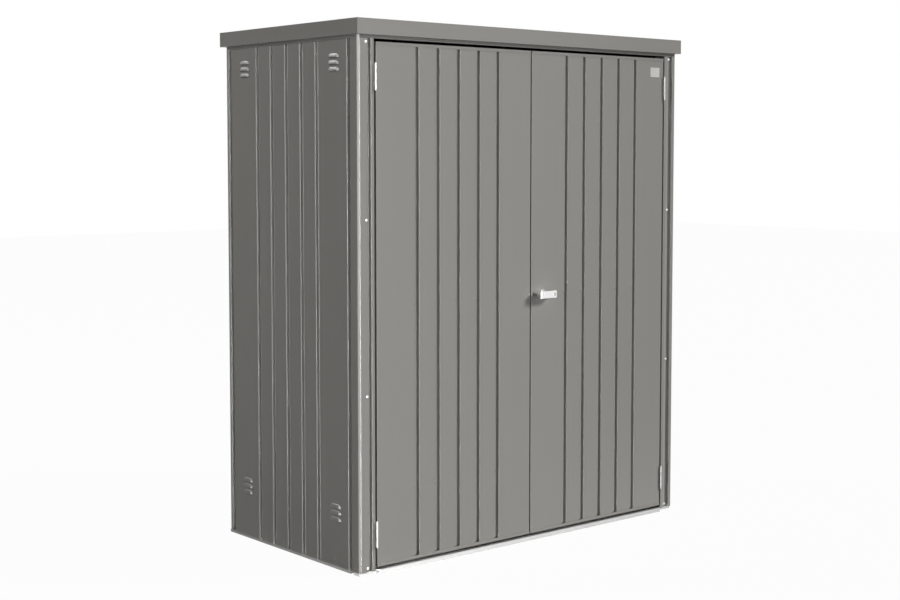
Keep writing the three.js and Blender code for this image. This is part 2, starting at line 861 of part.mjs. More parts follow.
// A channel behind the skin, notched over the ribs and drilled where a rod runs through
function crossbar(leftX, fromX, toX, holes) {
  const front = frontY + skinThickness + seatGap;
  const rear = front + crossbarDepth;
  const half = crossbarHeight / 2;
  const path = [point(rear, half), point(front, half), point(front, -half), point(rear, -half)];
  const bar = extrude(sheetOutline(path, frameThickness), 'x', fromX, toX);
  const cuts = [...holes];
  for (let i = 0; i < doorRibs; i += 1) {
    const centre = leftX + doorRibAt(i);
    const reach = doorRibMouth / 2 + ribNotchClearance;
    const back = frontY + ribDepth + skinThickness + ribNotchClearance;
    cuts.push(block(
      [centre - reach, front - overrun, -crossbarHeight],
      [centre + reach, back, crossbarHeight],
    ));
  }
  return combine([bar], cuts);
}

// Hinge halves about their pin axis, drawn for the left side of the cabinet
const hingeAxisX = jambX - hingeGap / 2;
const hingeAxisY = frontY - hingeProud;
const knuckle = hingeLength * knuckleShare;
const hingeBoreRadius = hingePinRadius + hingePinClearance / Math.cos(Math.PI / hingeSegments);

function hingeLeaf(sideSign, knuckleSpans) {
  const plateOuter = hingeGap / 2;
  const plateInner = plateOuter - hingeLeafThickness;
  const plateX = sideSign < 0 ? [-plateOuter, -plateInner] : [plateInner, plateOuter];
  const plateFrontY = hingeProud - hingeLeafSetback;
  const half = hingeLength / 2;
  const joined = [block(
    [plateX[0], plateFrontY, -half],
    [plateX[1], plateFrontY + hingeLeafDepth, half],
  )];
  for (const [low, high] of knuckleSpans) {
    joined.push(cylinder(hingeBarrelRadius, 'z', 0, 0, low, high, hingeSegments));
    joined.push(block([plateX[0], 0, low], [plateX[1], plateFrontY + hingeLeafSetback, high]));
  }
  const bore = cylinder(hingeBoreRadius, 'z', 0, 0, -hingeLength, hingeLength, hingeSegments);
  return combine(joined, [bore]);
}

function hingeFrameLeaf() {
  const half = hingeLength / 2;
  const inner = knuckle / 2 + turningGap / 2;
  return hingeLeaf(-1, [[-half, -inner], [inner, half]]);
}

function hingeDoorLeaf() {
  const inner = knuckle / 2 - turningGap / 2;
  return hingeLeaf(1, [[-inner, inner]]);
}

function hingePin() {
  const half = hingeLength / 2;
  const profile = [
    point(0, -half),
    point(hingePinRadius, -half),
    point(hingePinRadius, half),
    point(pinHeadRadius, half),
    point(pinHeadRadius, half + pinHeadHeight / 2),
    point(pinHeadRadius - pinHeadHeight / 2, half + pinHeadHeight),
    point(0, half + pinHeadHeight),
  ];
  return new THREE.LatheGeometry(profile, hingeSegments).rotateX(Math.PI / 2);
}

// Handle: rose, lever, lock barrel and the spindle pinion, all about the handle's axis
const handleX = doorInnerX + handleFromDoorEdge;
const roseFrontY = frontY - roseThickness;
const leverRearY = roseFrontY - turningGap - neckLength;
const leverFrontY = leverRearY - leverThickness;
const spindleFrontY = leverRearY + neckLength - spindleReach;

function rose() {
  const profile = [
    point(spindleHoleRadius, 0),
    point(roseRadius, 0),
    point(roseRadius, roseThickness - roseBevel),
    point(roseRadius - roseBevel, roseThickness),
    point(spindleHoleRadius, roseThickness),
    point(spindleHoleRadius, 0),
  ];
  const ring = new THREE.LatheGeometry(profile, roundSegments).rotateX(Math.PI);
  return ring.translate(handleX, frontY, handleZ);
}

// The lever's face is a rounded bar, a little waisted at the pivot
function leverOutline() {
  const long = leverLength / 2;
  const half = leverHeight / 2;
  const shape = new THREE.Shape();
  const corner = leverCornerRadius;
  shape.moveTo(-long + corner, -half);
  shape.quadraticCurveTo(0, -half + 2 * leverWaist, long - corner, -half);
  shape.absarc(long - corner, -half + corner, corner, -Math.PI / 2, 0, false);
  shape.absarc(long - corner, half - corner, corner, 0, Math.PI / 2, false);
  shape.quadraticCurveTo(0, half - 2 * leverWaist, -long + corner, half);
  shape.absarc(-long + corner, half - corner, corner, Math.PI / 2, Math.PI, false);
  shape.absarc(-long + corner, -half + corner, corner, Math.PI, Math.PI * 3 / 2, false);
  return shape;
}

function lever() {
  const bar = new THREE.ExtrudeGeometry(leverOutline(), {
    depth: leverThickness - 2 * leverBevel,
    bevelThickness: leverBevel,
    bevelSize: leverBevel,
    bevelOffset: -leverBevel,
    bevelSegments: 2,
    curveSegments: 4,
  });
  bar.applyMatrix4(new THREE.Matrix4().makeBasis(unitX, unitZ, unitY.clone().negate()));
  bar.translate(handleX, leverRearY - leverBevel, handleZ);
  const neckRear = leverRearY + neckLength;
  const neck = cylinder(
    neckRadius, 'y', handleX, handleZ, leverRearY - leverBevel, neckRear, roundSegments,
  );
  const socketHalf = spindleSize / 2 + turningGap;
  const socket = block(
    [handleX - socketHalf, spindleFrontY - turningGap, handleZ - socketHalf],
    [handleX + socketHalf, neckRear + overrun, handleZ + socketHalf],
  );
  const barrelBore = cylinder(
    barrelRadius + turningGap, 'y', handleX + barrelFromPivot, handleZ,
    leverFrontY - overrun, leverFrontY + barrelLength, roundSegments,
  );
  return combine([bar, neck], [socket, barrelBore]);
}

function lockBarrel() {
  const x = handleX + barrelFromPivot;
  const front = leverFrontY - barrelProud;
  const plug = cylinder(
    barrelRadius, 'y', x, handleZ, front, leverFrontY + barrelLength - turningGap, roundSegments,
  );
  const slot = block(
    [x - keySlotWidth / 2, front - overrun, handleZ - keySlotLength / 2],
    [x + keySlotWidth / 2, front + keySlotDepth, handleZ + keySlotLength / 2],
  );
  return combine([plug], [slot]);
}

// Gear sizes
const pitchRadius = gearModule * pinionTeeth / 2;
const baseRadius = pitchRadius * Math.cos(pressureAngle);
const tipRadius = pitchRadius + addendumShare * gearModule;
const rootRadius = pitchRadius - dedendumShare * gearModule;
const toothPitch = Math.PI * gearModule;

function involuteAngle(radius) {
  const ratio = Math.min(baseRadius / radius, 1);
  const angle = Math.acos(ratio);
  return Math.tan(angle) - angle;
}

// Half the angle that a pinion tooth covers at a radius
function halfToothAngle(radius) {
  const atPitch = (toothPitch / 2 - backlash) / 2 / pitchRadius;
  return atPitch + involuteAngle(pitchRadius) - involuteAngle(Math.max(radius, baseRadius));
}

function pinionOutline() {
  const points = [];
  for (let tooth = 0; tooth < pinionTeeth; tooth += 1) {
    const centre = (tooth + 1 / 2) * 2 * Math.PI / pinionTeeth;
    const radii = [rootRadius];
    for (let k = 0; k <= flankSteps; k += 1) {
      radii.push(baseRadius + (tipRadius - baseRadius) * k / flankSteps);
    }
    const at = (radius, angle) => point(radius * Math.cos(angle), radius * Math.sin(angle));
    for (const radius of radii) points.push(at(radius, centre - halfToothAngle(radius)));
    for (const radius of radii.reverse()) points.push(at(radius, centre + halfToothAngle(radius)));
  }
  return points;
}

function spindlePinion() {
  const outline = pinionOutline().map((corner) => point(handleX + corner.x, handleZ + corner.y));
  const gearFront = (rodFrontY + rodRearY - pinionThickness) / 2;
  const gear = extrude(outline, 'y', gearFront, gearFront + pinionThickness);
  const half = spindleSize / 2;
  const square = block(
    [handleX - half, spindleFrontY, handleZ - half],
    [handleX + half, gearFront + overrun, handleZ + half],
  );
  const journal = cylinder(
    journalRadius, 'y', handleX, handleZ, gearFront + overrun, lockCaseRearY, roundSegments,
  );
  return combine([gear, square, journal]);
}

// Lock case: a tray against the skin that carries the pinion's journal and guides the rods
const lockCaseFrontY = frontY + skinThickness + seatGap;
const lockCaseRearY = lockCaseFrontY + crossbarDepth;
const rackRootX = pitchRadius + dedendumShare * gearModule;
const rackBackX = rackRootX + rodWidth;
const rackTipX = pitchRadius - addendumShare * gearModule;

function lockCase() {
  const shell = block(
    [handleX - lockCaseHalfWidth, lockCaseFrontY, handleZ - lockCaseHalfHeight],
    [handleX + lockCaseHalfWidth, lockCaseRearY, handleZ + lockCaseHalfHeight],
  );
  const hollow = block(
    [
      handleX - lockCaseHalfWidth + railThickness,
      lockCaseFrontY - overrun,
      handleZ - lockCaseHalfHeight + railThickness,
    ],
    [
      handleX + lockCaseHalfWidth - railThickness,
      lockCaseRearY - railThickness,
      handleZ + lockCaseHalfHeight - railThickness,
    ],
  );
  const journalHole = cylinder(
    journalRadius + turningGap, 'y', handleX, handleZ,
    lockCaseRearY - overrun, lockCaseRearY + overrun, roundSegments,
  );
  const middle = (rackRootX + rackBackX) / 2;
  const upperHole = rodHole(handleX - middle, rodWidth + 2 * (rackRootX - rackTipX),
    handleZ + lockCaseHalfHeight - overrun, handleZ + lockCaseHalfHeight + overrun);
  const lowerHole = rodHole(handleX + middle, rodWidth + 2 * (rackRootX - rackTipX),
    handleZ - lockCaseHalfHeight - overrun, handleZ - lockCaseHalfHeight + overrun);
  return combine([shell], [hollow, journalHole, upperHole, lowerHole]);
}

// A rod in (away from the pinion, along the rod), with rack teeth that face the pinion
function rodOutline(length) {
  const flank = Math.tan(pressureAngle);
  const tipHalf = toothPitch / 4 - addendumShare * gearModule * flank;
  const rootHalf = toothPitch / 4 + dedendumShare * gearModule * flank;
  const end = -(rackTeeth - 1 / 2) * toothPitch;
  const points = [point(rackBackX, end), point(rackRootX, end)];
  for (let i = rackTeeth - 1; i >= 0; i -= 1) {
    const centre = -i * toothPitch;
    points.push(point(rackRootX, centre - rootHalf), point(rackTipX, centre - tipHalf));
    points.push(point(rackTipX, centre + tipHalf), point(rackRootX, centre + rootHalf));
  }
  points.push(point(rackRootX, length), point(rackBackX, length));
  return points;
}

function lockRod(sign, length) {
  const outline = rodOutline(length).map((corner) => point(
    handleX - sign * corner.x,
    handleZ + sign * corner.y,
  ));
  return extrude(outline, 'y', rodFrontY, rodRearY);
}

// Slide bolt in (across, along the bolt), with a finger knob towards the inside
function slideBolt(sign, tipZ) {
  const x = -doorInnerX - boltFromDoorEdge;
  const ends = [tipZ, tipZ - sign * boltLength];
  const bar = block(
    [x - boltWidth / 2, rodFrontY, Math.min(...ends)],
    [x + boltWidth / 2, rodRearY, Math.max(...ends)],
  );
  const knobZ = tipZ - sign * boltKnobFromTip;
  const knob = cylinder(
    boltKnobRadius, 'y', x, knobZ, rodRearY - hemLap, rodRearY + boltKnobLength, roundSegments,
  );
  return combine([bar, knob]);
}

// Shelf uprights, brackets and shelves
const uprightRearY = wallInnerY - seatGap;
const uprightFrontY = uprightRearY - uprightDepth;
const floorTopZ = baseHeight + frameThickness;
const shelfHalfWidth = wallInnerX - shelfEndGap;

function shelfUpright() {
  const half = uprightWidth / 2;
  const path = [
    point(-half, uprightRearY),
    point(-half, uprightFrontY),
    point(half, uprightFrontY),
    point(half, uprightRearY),
  ];
  const outline = sheetOutline(path, railThickness);
  const channel = extrude(outline, 'z', floorTopZ + floorBeadHeight + seatGap, uprightTopZ);
  const slots = [];
  for (let i = 0; i < slotCount; i += 1) {
    const z = slotFirstZ + i * slotPitch;
    slots.push(block(
      [-slotWidth / 2, uprightFrontY - overrun, z - slotHeight / 2],
      [slotWidth / 2, uprightFrontY + overrun, z + slotHeight / 2],
    ));
  }
  return combine([channel], slots);
}

function shelfBracket() {
  const rear = uprightFrontY - seatGap;
  const front = rear - bracketLength;
  const half = bracketThickness / 2;
  const web = extrude([
    point(rear, 0),
    point(front, 0),
    point(front, -bracketTip),
    point(rear, -bracketRoot),
  ], 'x', -half, half);
  const flange = block(
    [-bracketFlange / 2, front, -bracketThickness],
    [bracketFlange / 2, rear, 0],
  );
  const tabs = [0, slotPitch].map((drop) => block(
    [-half, rear - hemLap, -bracketTabFromTop - drop - bracketTabHeight / 2],
    [half, rear + bracketTabReach, -bracketTabFromTop - drop + bracketTabHeight / 2],
  ));
  return combine([web, flange, ...tabs]);
}

function shelf() {
  const rear = uprightFrontY - shelfRearGap;
  const front = rear - shelfDepth;
  const path = [
    point(rear - skinThickness, shelfUpstand),
    point(rear - skinThickness, 0),
    point(front, 0),
    point(front, -shelfEdge),
    point(front + shelfEdgeReturn, -shelfEdge),
  ];
  const tray = extrude(sheetOutline(path, skinThickness), 'x', -shelfHalfWidth, shelfHalfWidth);
  const inset = skinThickness / 2;
  const leftEnd = block(
    [-shelfHalfWidth + inset, front + inset, -shelfEdge + inset],
    [-shelfHalfWidth + inset + skinThickness, rear - inset, -inset],
  );
  return combine([tray, leftEnd, mirrorX(leftEnd)]);
}

function bracketTopZ(slotIndex) {
  return slotFirstZ + slotIndex * slotPitch + bracketTabFromTop;
}

// Assembly: the bounding box, with the lever proud of the roof's front, is centred on Y = 0
const cabinet = new THREE.Group();
cabinet.position.y = -(leverFrontY - barrelProud + roofDepth / 2) / 2;

function add(name, geometry, material, x = 0, y = 0, z = 0) {
  const mesh = new THREE.Mesh(geometry, material);
  mesh.name = name;
  mesh.position.set(x, y, z);
  cabinet.add(mesh);
}

add('front_base_rail', frontBaseRail(), aluminium);
add('rear_base_rail', rearBaseRail(), aluminium);
add('left_base_rail', leftBaseRail(), aluminium);
add('right_base_rail', mirrorX(leftBaseRail()), aluminium);
add('threshold', threshold(), aluminium);
add('floor_panel', floorPanel(), galvanised);

const frontPosts = {
  left: frontPost(-1, leftFrontRibFromSide, postRibMouth, 0),
  right: frontPost(1, rightFrontRibFromSide, rightFrontRibMouth, rightLipDrop),
};
for (const [side, post] of Object.entries(frontPosts)) add(`front_${side}_post`, post, paintedSteel);
add('rear_left_post', rearPost(-1), paintedSteel);
add('rear_right_post', rearPost(1), paintedSteel);

const sideWall = leftSideWall();
add('left_side_wall', sideWall, paintedSteel);
add('right_side_wall', mirrorX(sideWall), paintedSteel);
add('left_rear_wall', leftRearPanel(), paintedSteel);
add('right_rear_wall', rightRearPanel(), paintedSteel);

add('header_rail', headerRail(), paintedSteel);
add('rear_top_rail', rearTopRail(), paintedSteel);
add('left_top_rail', leftTopRail(), paintedSteel);
add('right_top_rail', mirrorX(leftTopRail()), paintedSteel);
add('roof_stiffener', roofStiffener(), galvanised);
add('roof_cap', roofCap(), paintedSteel);

const uprights = { left: -uprightX, middle: 0, right: uprightX };
const shelves = { lower: lowerShelfSlot, upper: upperShelfSlot };
for (const [side, x] of Object.entries(uprights)) {
  add(`${side}_shelf_upright`, shelfUpright(), galvanised, x);
  for (const [level, slot] of Object.entries(shelves)) {
    add(`${level}_${side}_shelf_bracket`, shelfBracket(), galvanised, x, 0, bracketTopZ(slot));
  }
}
for (const [level, slot] of Object.entries(shelves)) {
  add(`${level}_shelf`, shelf(), galvanised, 0, 0, bracketTopZ(slot) + skinThickness);
}

// Hinges
const hingeHeights = { upper: hingeUpperZ, lower: hingeLowerZ };
for (const [level, z] of Object.entries(hingeHeights)) {
  for (const [side, sign] of [['left', -1], ['right', 1]]) {
    const turned = (geometry) => (sign < 0 ? geometry : mirrorX(geometry));
    const x = sign * hingeAxisX;
    add(`${side}_${level}_hinge_frame_leaf`, turned(hingeFrameLeaf()), stainless, x, hingeAxisY, z);
    add(`${side}_${level}_hinge_door_leaf`, turned(hingeDoorLeaf()), stainless, x, hingeAxisY, z);
    add(`${side}_${level}_hinge_pin`, hingePin(), stainless, x, hingeAxisY, z);
  }
}

// Left door with its slide bolts
const leftDoorX = -doorOuterX;
const rightDoorX = doorInnerX;
const barEndGap = foldRadius + seatGap;
const boltX = -doorInnerX - boltFromDoorEdge;
const doorTipZ = doorTopZ - rodEndClearance;
const doorFootZ = doorBottomZ + rodEndClearance;
const barHole = (x, width) => rodHole(x, width, -crossbarHeight, crossbarHeight);
const edgeHoles = (x, width) => rodHole(x, width, doorTopZ - doorLip, doorTopZ + overrun);
const footHoles = (x, width) => rodHole(x, width, doorBottomZ - overrun, doorBottomZ + doorLip);

add('left_door_skin', doorSkin(leftDoorX, [
  edgeHoles(boltX, boltWidth),
  footHoles(boltX, boltWidth),
]), paintedSteel);
const leftBarStart = leftDoorX + barEndGap;
const leftBarEnd = -doorInnerX - barEndGap;
const boltHole = [barHole(boltX, boltWidth)];
add('left_door_upper_crossbar', crossbar(leftDoorX, leftBarStart, leftBarEnd, boltHole),
  galvanised, 0, 0, crossbarUpperZ);
add('left_door_middle_crossbar', crossbar(leftDoorX, leftBarStart, leftBarEnd, []),
  galvanised, 0, 0, crossbarMiddleZ);
add('left_door_lower_crossbar', crossbar(leftDoorX, leftBarStart, leftBarEnd, boltHole),
  galvanised, 0, 0, crossbarLowerZ);
add('upper_slide_bolt', slideBolt(1, doorTipZ), stainless);
add('lower_slide_bolt', slideBolt(-1, doorFootZ), stainless);

// Right door with its handle, lock and rods
const rodMiddle = (rackRootX + rackBackX) / 2;
const upperRodX = handleX - rodMiddle;
const lowerRodX = handleX + rodMiddle;
const spindleHole = cylinder(
  spindleHoleRadius, 'y', handleX, handleZ, frontY - overrun, frontY + overrun, roundSegments,
);
add('right_door_skin', doorSkin(rightDoorX, [
  edgeHoles(upperRodX, rodWidth),
  footHoles(lowerRodX, rodWidth),
  spindleHole,
]), paintedSteel);
const rightBarStart = rightDoorX + barEndGap;
const rightBarEnd = doorOuterX - barEndGap;
const lockSideStart = handleX + lockCaseHalfWidth + lockCaseGap;
add('right_door_upper_crossbar',
  crossbar(rightDoorX, rightBarStart, rightBarEnd, [barHole(upperRodX, rodWidth)]),
  galvanised, 0, 0, crossbarUpperZ);
add('right_door_middle_crossbar', crossbar(rightDoorX, lockSideStart, rightBarEnd, []),
  galvanised, 0, 0, crossbarMiddleZ);
add('right_door_lower_crossbar',
  crossbar(rightDoorX, rightBarStart, rightBarEnd, [barHole(lowerRodX, rodWidth)]),
  galvanised, 0, 0, crossbarLowerZ);
add('handle_rose', rose(), satinChrome);
add('lock_case', lockCase(), galvanised);
add('spindle_pinion', spindlePinion(), stainless);
add('handle_lever', lever(), satinChrome);
add('lock_barrel', lockBarrel(), nickel);
add('upper_lock_rod', lockRod(1, doorTipZ - handleZ), stainless);
add('lower_lock_rod', lockRod(-1, handleZ - doorFootZ), stainless);

export default cabinet;
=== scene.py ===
"""Dresses the steel garden cabinet for its picture.

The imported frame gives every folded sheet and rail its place. This file adds
rivets, screws, hinges, the handle and the bare plate, gives every surface its
finish, and sets up the floor, the lamps and the camera. Lengths are metres.
"""
import math
from typing import NamedTuple

import bmesh
import bpy
from mathutils import Euler, Matrix, Vector


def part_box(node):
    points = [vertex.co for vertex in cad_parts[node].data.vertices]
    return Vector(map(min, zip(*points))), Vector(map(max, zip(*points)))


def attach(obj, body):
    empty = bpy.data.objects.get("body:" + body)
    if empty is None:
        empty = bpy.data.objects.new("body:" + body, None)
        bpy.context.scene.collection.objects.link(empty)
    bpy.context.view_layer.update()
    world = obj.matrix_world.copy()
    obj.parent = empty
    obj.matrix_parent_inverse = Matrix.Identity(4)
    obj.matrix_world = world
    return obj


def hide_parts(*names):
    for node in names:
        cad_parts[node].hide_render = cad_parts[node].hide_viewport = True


bl_info = {
    "name": "Steel garden cabinet",
    "version": (1, 0, 0),
    "blender": (4, 5, 0),
    "location": "View3D > Sidebar > Cabinet",
    "description": "Fittings, finishes and studio for a sheet steel garden cabinet",
    "category": "Object",
}

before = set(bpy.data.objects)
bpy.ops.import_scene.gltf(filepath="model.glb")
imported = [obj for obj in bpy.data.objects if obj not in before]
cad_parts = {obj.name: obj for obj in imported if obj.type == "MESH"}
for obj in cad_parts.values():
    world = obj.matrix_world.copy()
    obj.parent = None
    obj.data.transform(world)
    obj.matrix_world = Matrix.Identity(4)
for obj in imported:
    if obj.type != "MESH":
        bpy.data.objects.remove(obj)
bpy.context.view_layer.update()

MM = 0.001

# Directions, and the plane in which the closed doors and the posts end
FRONT = Vector((0, -1, 0))
UP = Vector((0, 0, 1))
ACROSS = Vector((1, 0, 0))
FRONT_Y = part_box("header_rail")[0].y

# How meshes are merged, shaded and turned
MERGE = 0.01 * MM
FLAT_ANGLE = math.radians(0.5)  # faces nearer than this to one plane become one face
FOLD_ANGLE = math.radians(40)  # the sheets' folds shade softly up to this turn
FORM_ANGLE = math.radians(35)  # and the fittings' rounded edges up to this one
RIM_ANGLE = math.radians(60)  # an edge that turns further than this is still unrounded
ROUND_STEPS = 48
FINE_ROUND_STEPS = 64

# Names that the frame's nodes are made of
SIDES = ("left", "right")
DOOR_LEVELS = ("upper", "middle", "lower")
SHELF_LEVELS = ("lower", "upper")
SHELF_PLACES = ("left", "middle", "right")

# Nodes that keep their own mesh, by the finish they wear
PLAIN_NODES = {
    "sill_metal": ("front_base_rail", "rear_base_rail", "threshold"),
    # the side rails wear the rail aluminium dimmed to half brightness, as painted shade
    "side_rail_metal": ("left_base_rail", "right_base_rail"),
    "zinc_coated": (
        "floor_panel", "roof_stiffener", "lock_case",
        *(f"{level}_shelf" for level in SHELF_LEVELS),
        *(f"{place}_shelf_upright" for place in SHELF_PLACES),
        *(f"{level}_{place}_shelf_bracket" for level in SHELF_LEVELS for place in SHELF_PLACES),
        *(f"{side}_door_{level}_crossbar" for side in SIDES for level in DOOR_LEVELS),
    ),
    "brushed_stainless": (
        "upper_slide_bolt", "lower_slide_bolt", "upper_lock_rod", "lower_lock_rod",
        "spindle_pinion",
    ),
}

# Painted sheets, by the body that carries them
PAINTED_SHEETS = {
    "cabinet": (
        "front_left_post", "front_right_post", "rear_left_post", "rear_right_post",
        "left_side_wall", "right_side_wall", "left_rear_wall", "right_rear_wall",
        "header_rail", "rear_top_rail", "left_top_rail", "right_top_rail", "roof_cap",
    ),
    "left_door": ("left_door_skin",),
    "right_door": ("right_door_skin",),
}

# The doors' pressed grooves, from each skin's left edge
FIRST_GROOVE = 172 * MM
GROOVE_PITCH = 90 * MM
GROOVES = 5

# The posts' screws: above the ground, and in from each post's outer edge
SCREW_HEIGHTS = (24.6 * MM, 596 * MM, 1174.6 * MM, 1751 * MM)
LEFT_SCREW_INSET = 31 * MM
RIGHT_SCREW_INSET = 41 * MM

# Rivet heads and screw heads, as shares of the fastener's radius and of its height
RIVET_PROFILE = (
    (0.0, 0.35), (0.26, 0.35), (0.34, 0.95), (0.46, 1.0), (0.66, 0.86), (0.86, 0.52),
    (0.98, 0.12), (1.0, 0.0), (0.9, -0.15), (0.0, -0.15),
)
SCREW_FLANGE = ((0.0, 0.28), (0.8, 0.28), (0.97, 0.16), (1.0, 0.02), (0.9, -0.05), (0.0, -0.05))
HEXAGON_RADIUS = 0.66
HEXAGON_MIDDLE = 0.6
HEXAGON_HEIGHT = 0.8
HEXAGON_ROUNDING = 0.07

# The two tones of each bare metal, which its grain, spangle or smears mix
TONES = {
    "aluminium": ((0.50, 0.50, 0.495), (0.62, 0.62, 0.61)),
    "zinc": ((0.33, 0.34, 0.345), (0.47, 0.48, 0.485)),
    "stainless": ((0.52, 0.515, 0.5), (0.70, 0.695, 0.68)),
    "hinge": ((0.20, 0.197, 0.19), (0.29, 0.287, 0.28)),
    "chrome": ((0.92, 0.915, 0.915), (0.86, 0.855, 0.85)),
    "nickel": ((0.66, 0.645, 0.61), (0.76, 0.745, 0.71)),
    "plating": ((0.60, 0.60, 0.59), (0.76, 0.76, 0.745)),
    "plate": ((0.44, 0.436, 0.415), (0.51, 0.506, 0.485)),
}
DUST = (0.42, 0.41, 0.38)
DRIED_SPLASH = (0.3, 0.28, 0.245)
FOOT_SOIL = (0.32, 0.3, 0.27)
ZINC_BLOOM = (0.50, 0.505, 0.5)
OIL_FILM = (0.16, 0.155, 0.145)
WHITE = (1.0, 1.0, 1.0)
SKY = (0.98, 0.99, 1.0)

# How high above the ground splashes reach on the coating, and soil on the rails
SPLASH_TOP = 0.14
SOIL_TOP = 0.012

# A Mix node's sockets for colours, which share their names with its other kinds
MIX_FACTOR, MIX_FIRST, MIX_SECOND = 0, 6, 7
MIX_RESULT = 2


class Card(NamedTuple):
    """A rectangular lamp or panel: its middle, the point that it faces, and its sides."""

    place: tuple
    target: tuple
    width: float
    height: float


# Lamps, which reflections don't see, and panels, which only reflections see
LAMPS = {
    "key_lamp": Card((40.0, -33.6, 26.3), (0.0, 0.0, 0.9), 14.0, 14.0),
    "side_lamp": Card((-6.1, 7.0, 5.2), (0.0, 0.0, 0.9), 2.6, 2.6),
}
PANELS = {
    "edge_strip": Card((-1.11, -0.75, 1.0), (-0.76, -0.4, 1.0), 0.16, 4.0),
    "front_softbox": Card((0.95, -6.9, 2.5), (0.95, -0.4, 2.5), 3.3, 12.0),
    "side_softbox": Card((-7.4, 0.3, 2.5), (0.0, 0.0, 2.5), 7.4, 12.0),
    "top_softbox": Card((-1.5, 5.5, 6.6), (0.0, 0.0, 0.9), 6.0, 4.0),
    "rear_flag": Card((-2.7, 7.5, 0.0), (0.0, 0.0, 0.0), 15.0, 8.0),
    "front_flag": Card((-2.7, -7.5, 0.0), (0.0, 0.0, 0.0), 6.4, 8.0),
    "right_flag": Card((6.3, -4.1, 1.7), (0.35, -0.4, 1.7), 3.1, 6.0),
}

# The floor, from its middle to its edges, and how much of its look is plain white:
# the rest shows the shadows on it
FLOOR_REACH = 20.0
FLOOR_WHITE = 0.97

# The camera: the photograph's lens and place, in millimetres, pixels, metres and degrees
SENSOR_WIDTH = 36.0
PHOTO_WIDTH = 900.0
FOCAL_PIXELS = 1514.8
LENS_SHIFT = -0.0444
VIEW_REACH = 100.0
CAMERA_PLACE = (-3.690, -4.323, 1.386)
CAMERA_TILT = 3.97
CAMERA_TURN = 40.11


# Node trees

class Signal:
    """A value in a node tree that Python arithmetic turns into Math nodes."""

    def __init__(self, nodes, socket):
        self.nodes = nodes
        self.socket = socket

    def math(self, operation, *values, clamp=False):
        """A Math node on these values, which may be numbers."""
        return self.nodes.node(
            "ShaderNodeMath", {"operation": operation, "use_clamp": clamp}, dict(enumerate(values)))

    def __add__(self, other):
        return self.math("ADD", self, other)

    __radd__ = __add__

    def __sub__(self, other):
        return self.math("SUBTRACT", self, other)

    def __rsub__(self, other):
        return self.math("SUBTRACT", other, self)

    def __mul__(self, other):
        return self.math("MULTIPLY", self, other)

    __rmul__ = __mul__

    def above(self, start, end):
        """0 below start, 1 above end, and a soft step between them."""
        return self.nodes.node(
            "ShaderNodeMapRange",
            {"interpolation_type": "SMOOTHSTEP", "clamp": True},
            {"Value": self, "From Min": start, "From Max": end, "To Min": 0.0, "To Max": 1.0})

    def clipped(self):
        """The value, held between 0 and 1."""
        return self.math("ADD", self, 0.0, clamp=True)


class Nodes:
    """A node tree that starts empty, and the one method that fills it."""

    def __init__(self, tree):
        self.tree = tree
        tree.nodes.clear()

    def node(self, kind, settings=None, sockets=None, output=0):
        """Adds a node: its settings first, then its sockets, and gives back one output."""
        made = self.tree.nodes.new(kind)
        for key, value in (settings or {}).items():
            setattr(made, key, value)
        for key, value in (sockets or {}).items():
            if isinstance(value, Signal):
                self.tree.links.new(value.socket, made.inputs[key])
            else:
                made.inputs[key].default_value = value
        return Signal(self, made.outputs[output]) if len(made.outputs) else made

    def part_of(self, vector, axis):
        """One component of a vector."""
        return self.node("ShaderNodeSeparateXYZ", {}, {"Vector": vector}, output=axis)

    def tint(self, factor, one, other):
        """A mix of two colours."""
        return self.node(
            "ShaderNodeMix", {"data_type": "RGBA"},
            {MIX_FACTOR: factor, MIX_FIRST: one, MIX_SECOND: other}, output=MIX_RESULT)

    def mixed(self, factor, one, other):
        """A mix of two shaders."""
        return self.node("ShaderNodeMixShader", {}, {0: factor, 1: one, 2: other})

    def plain_rays(self):
        """1 for what the camera sees, directly, mirrored or through glass."""
        kinds = ("Is Camera Ray", "Is Glossy Ray", "Is Transmission Ray")
        camera, glossy, clear = (self.node("ShaderNodeLightPath", output=kind) for kind in kinds)
        return (camera + glossy + clear).clipped()


class Finish(Nodes):
    """A procedural material."""

    def __init__(self, name):
        self.material = bpy.data.materials.new(name)
        self.material.use_nodes = True
        super().__init__(self.material.node_tree)

    def place(self, stretch=(1.0, 1.0, 1.0)):
        """The piece's own coordinates, in metres, stretched along its axes."""
        coordinates = self.node("ShaderNodeTexCoord", output="Object")
        return self.node("ShaderNodeMapping", {}, {"Vector": coordinates, "Scale": stretch})

    def cloud(self, scale, detail, stretch=(1.0, 1.0, 1.0)):
        """Soft noise."""
        return self.node(
            "ShaderNodeTexNoise", {"noise_dimensions": "3D"},
            {"Vector": self.place(stretch), "Scale": scale, "Detail": detail, "Roughness": 0.5},
            output="Fac")

    def cells(self, scale):
        """Small cells, each with a value of its own."""
        colours = self.node(
            "ShaderNodeTexVoronoi", {"feature": "F1"},
            {"Vector": self.place(), "Scale": scale}, output="Color")
        return self.part_of(colours, "X")

    def facing_up(self):
        return self.part_of(self.node("ShaderNodeNewGeometry", output="Normal"), "Z")

    def height(self):
        return self.part_of(self.place(), "Z")

    def tones(self, factor, metal, gain=1.0):
        """A mix of a bare metal's two tones."""
        one, other = TONES[metal]
        return self.tint(factor, rgba(one, gain), rgba(other, gain))

    def bump(self, height, distance, strength, under=None):
        """A normal that follows a height, on top of another normal where one is given."""
        sockets = {"Height": height, "Distance": distance, "Strength": strength}
        if under is not None:
            sockets["Normal"] = under
        return self.node("ShaderNodeBump", {}, sockets, output="Normal")

    def surface(self, shader):
        self.node("ShaderNodeOutputMaterial", {}, {"Surface": shader})
        return self.material

    def close(self, **sockets):
        """Ends the tree in a Principled shader with these sockets."""
        named = {key.replace("_", " "): value for key, value in sockets.items()}
        return self.surface(self.node("ShaderNodeBsdfPrincipled", {}, named))


